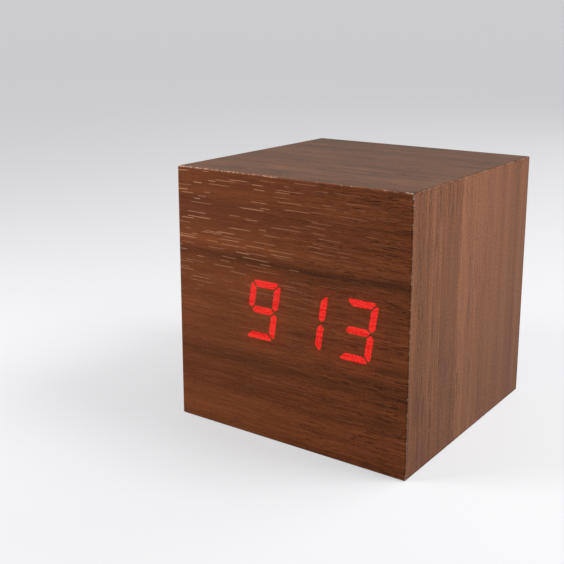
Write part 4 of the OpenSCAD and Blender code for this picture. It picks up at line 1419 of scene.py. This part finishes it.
class CLOCK_OT_stage(bpy.types.Operator):
    """Makes the floor, the lamps and the camera"""

    bl_idname = "clock.stage"
    bl_label = "Stage"

    def execute(self, context):
        stage = context.scene.clock_stage
        self.floor(stage)
        self.world(context.scene, stage)
        for name, (place, side) in LAMPS.items():
            self.lamp(name, place, side, getattr(stage, name))
        self.camera(context.scene, stage)
        context.scene.view_settings.view_transform = "Standard"
        return {"FINISHED"}

    @staticmethod
    def floor(stage):
        """A pale floor, which doesn't hide the clock from below."""
        side, drop = 40000, 0.05
        mesh = bpy.data.meshes.new("floor")
        corners = ((-side, -side), (side, -side), (side, side), (-side, side))
        mesh.from_pydata([Vector((x, y, -drop)) * MM for x, y in corners], [], [(0, 1, 2, 3)])
        material, tree, shader = new_material("floor_paint", 0.8, 0.1)
        cloud = tree.noise(tree.place(), scale=0.004)
        tree.give(shader["Base Color"], tree.mix(cloud, stage.floor, [0.97 * value for value in stage.floor]))
        nodes = material.node_tree.nodes
        paint = nodes["Principled BSDF"].outputs[0]
        glow = tree.add("Emission", {"Color": stage.floor_glow}).outputs[0]
        bright = tree.add("AddShader", {0: paint, 1: glow}).outputs[0]
        above = tree.add("MixShader", {0: looked_at(tree), 1: paint, 2: bright}).outputs[0]
        behind = tree.add("NewGeometry").outputs["Backfacing"]
        clear = tree.add("BsdfTransparent").outputs[0]
        both = tree.add("MixShader", {0: behind, 1: above, 2: clear}).outputs[0]
        tree.give(nodes["Material Output"].inputs["Surface"], both)
        mesh.materials.append(material)
        floor = bpy.data.objects.new("floor", mesh)
        bpy.context.scene.collection.objects.link(floor)
        floor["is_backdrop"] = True

    @staticmethod
    def world(scene, stage):
        """Even light from all round, seen as the backdrop's colour."""
        scene.world = bpy.data.worlds.new("studio")
        scene.world.use_nodes = True
        nodes = scene.world.node_tree.nodes
        tree = Tree(scene.world.node_tree)
        light = nodes["Background"]
        tree.give(light.inputs["Color"], (stage.ambient, stage.ambient, stage.ambient))
        seen = tree.add("Background", {"Color": stage.backdrop, "Strength": 1.0})
        both = tree.add("MixShader", {0: looked_at(tree), 1: light.outputs[0], 2: seen.outputs[0]})
        tree.give(nodes["World Output"].inputs["Surface"], both.outputs[0])

    @staticmethod
    def lamp(name, place, side, power):
        """A square soft lamp that faces the clock."""
        data = bpy.data.lights.new(name, "AREA")
        data.shape = "SQUARE"
        data.size = side * MM
        data.energy = power
        lamp = bpy.data.objects.new(name, data)
        lamp.location = Vector(place) * MM
        lamp.rotation_euler = (Vector((0, 0, HALF)) * MM - lamp.location).to_track_quat("-Z", "Y").to_euler()
        bpy.context.scene.collection.objects.link(lamp)

    @staticmethod
    def camera(scene, stage):
        """The camera, at the angle of the photograph."""
        a, e = stage.azimuth, stage.elevation
        back = Vector((math.sin(a) * math.cos(e), -math.cos(a) * math.cos(e), math.sin(e)))
        data = bpy.data.cameras.new("camera")
        data.sensor_width = 36
        data.lens = stage.lens
        data.shift_y = stage.shift
        data.clip_start = 0.01
        camera = bpy.data.objects.new("camera", data)
        camera.location = Vector(stage.target) + back * stage.distance
        camera.rotation_mode = "QUATERNION"
        camera.rotation_quaternion = (-back).to_track_quat("-Z", "Y")
        scene.collection.objects.link(camera)
        scene.camera = camera


# Add-on


class CLOCK_PT_panel(bpy.types.Panel):
    """The steps that finish the clock, in order"""

    bl_idname = "CLOCK_PT_panel"
    bl_label = "LED Desk Clock"
    bl_space_type = "VIEW_3D"
    bl_region_type = "UI"
    bl_category = "Clock"

    def draw(self, context):
        for step in STEPS:
            self.layout.operator(step.bl_idname)


SETTINGS = {
    "clock_veneer": VeneerSettings,
    "clock_display": DisplaySettings,
    "clock_housing": HousingSettings,
    "clock_cells": CellSettings,
    "clock_stage": StageSettings,
}
STEPS = (
    CLOCK_OT_stage, CLOCK_OT_front_veneer, CLOCK_OT_case_veneers, CLOCK_OT_boards, CLOCK_OT_display,
    CLOCK_OT_electronics, CLOCK_OT_leads, CLOCK_OT_housing, CLOCK_OT_cells, CLOCK_OT_contacts,
    CLOCK_OT_controls, CLOCK_OT_marks,
)


def register():
    for made in (*SETTINGS.values(), *STEPS, CLOCK_PT_panel):
        bpy.utils.register_class(made)
    for name, group in SETTINGS.items():
        setattr(bpy.types.Scene, name, PointerProperty(type=group))


def unregister():
    for name in SETTINGS:
        delattr(bpy.types.Scene, name)
    for made in (CLOCK_PT_panel, *reversed(STEPS), *reversed(SETTINGS.values())):
        bpy.utils.unregister_class(made)


def main():
    """Runs every step."""
    register()
    for step in STEPS:
        family, action = step.bl_idname.split(".")
        getattr(getattr(bpy.ops, family), action)()
    boxes = {"cad": CAD_BOX, "visual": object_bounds()}
    {name: [list(corner) for corner in box] for name, box in boxes.items()}


if __name__ == "__main__":
    main()
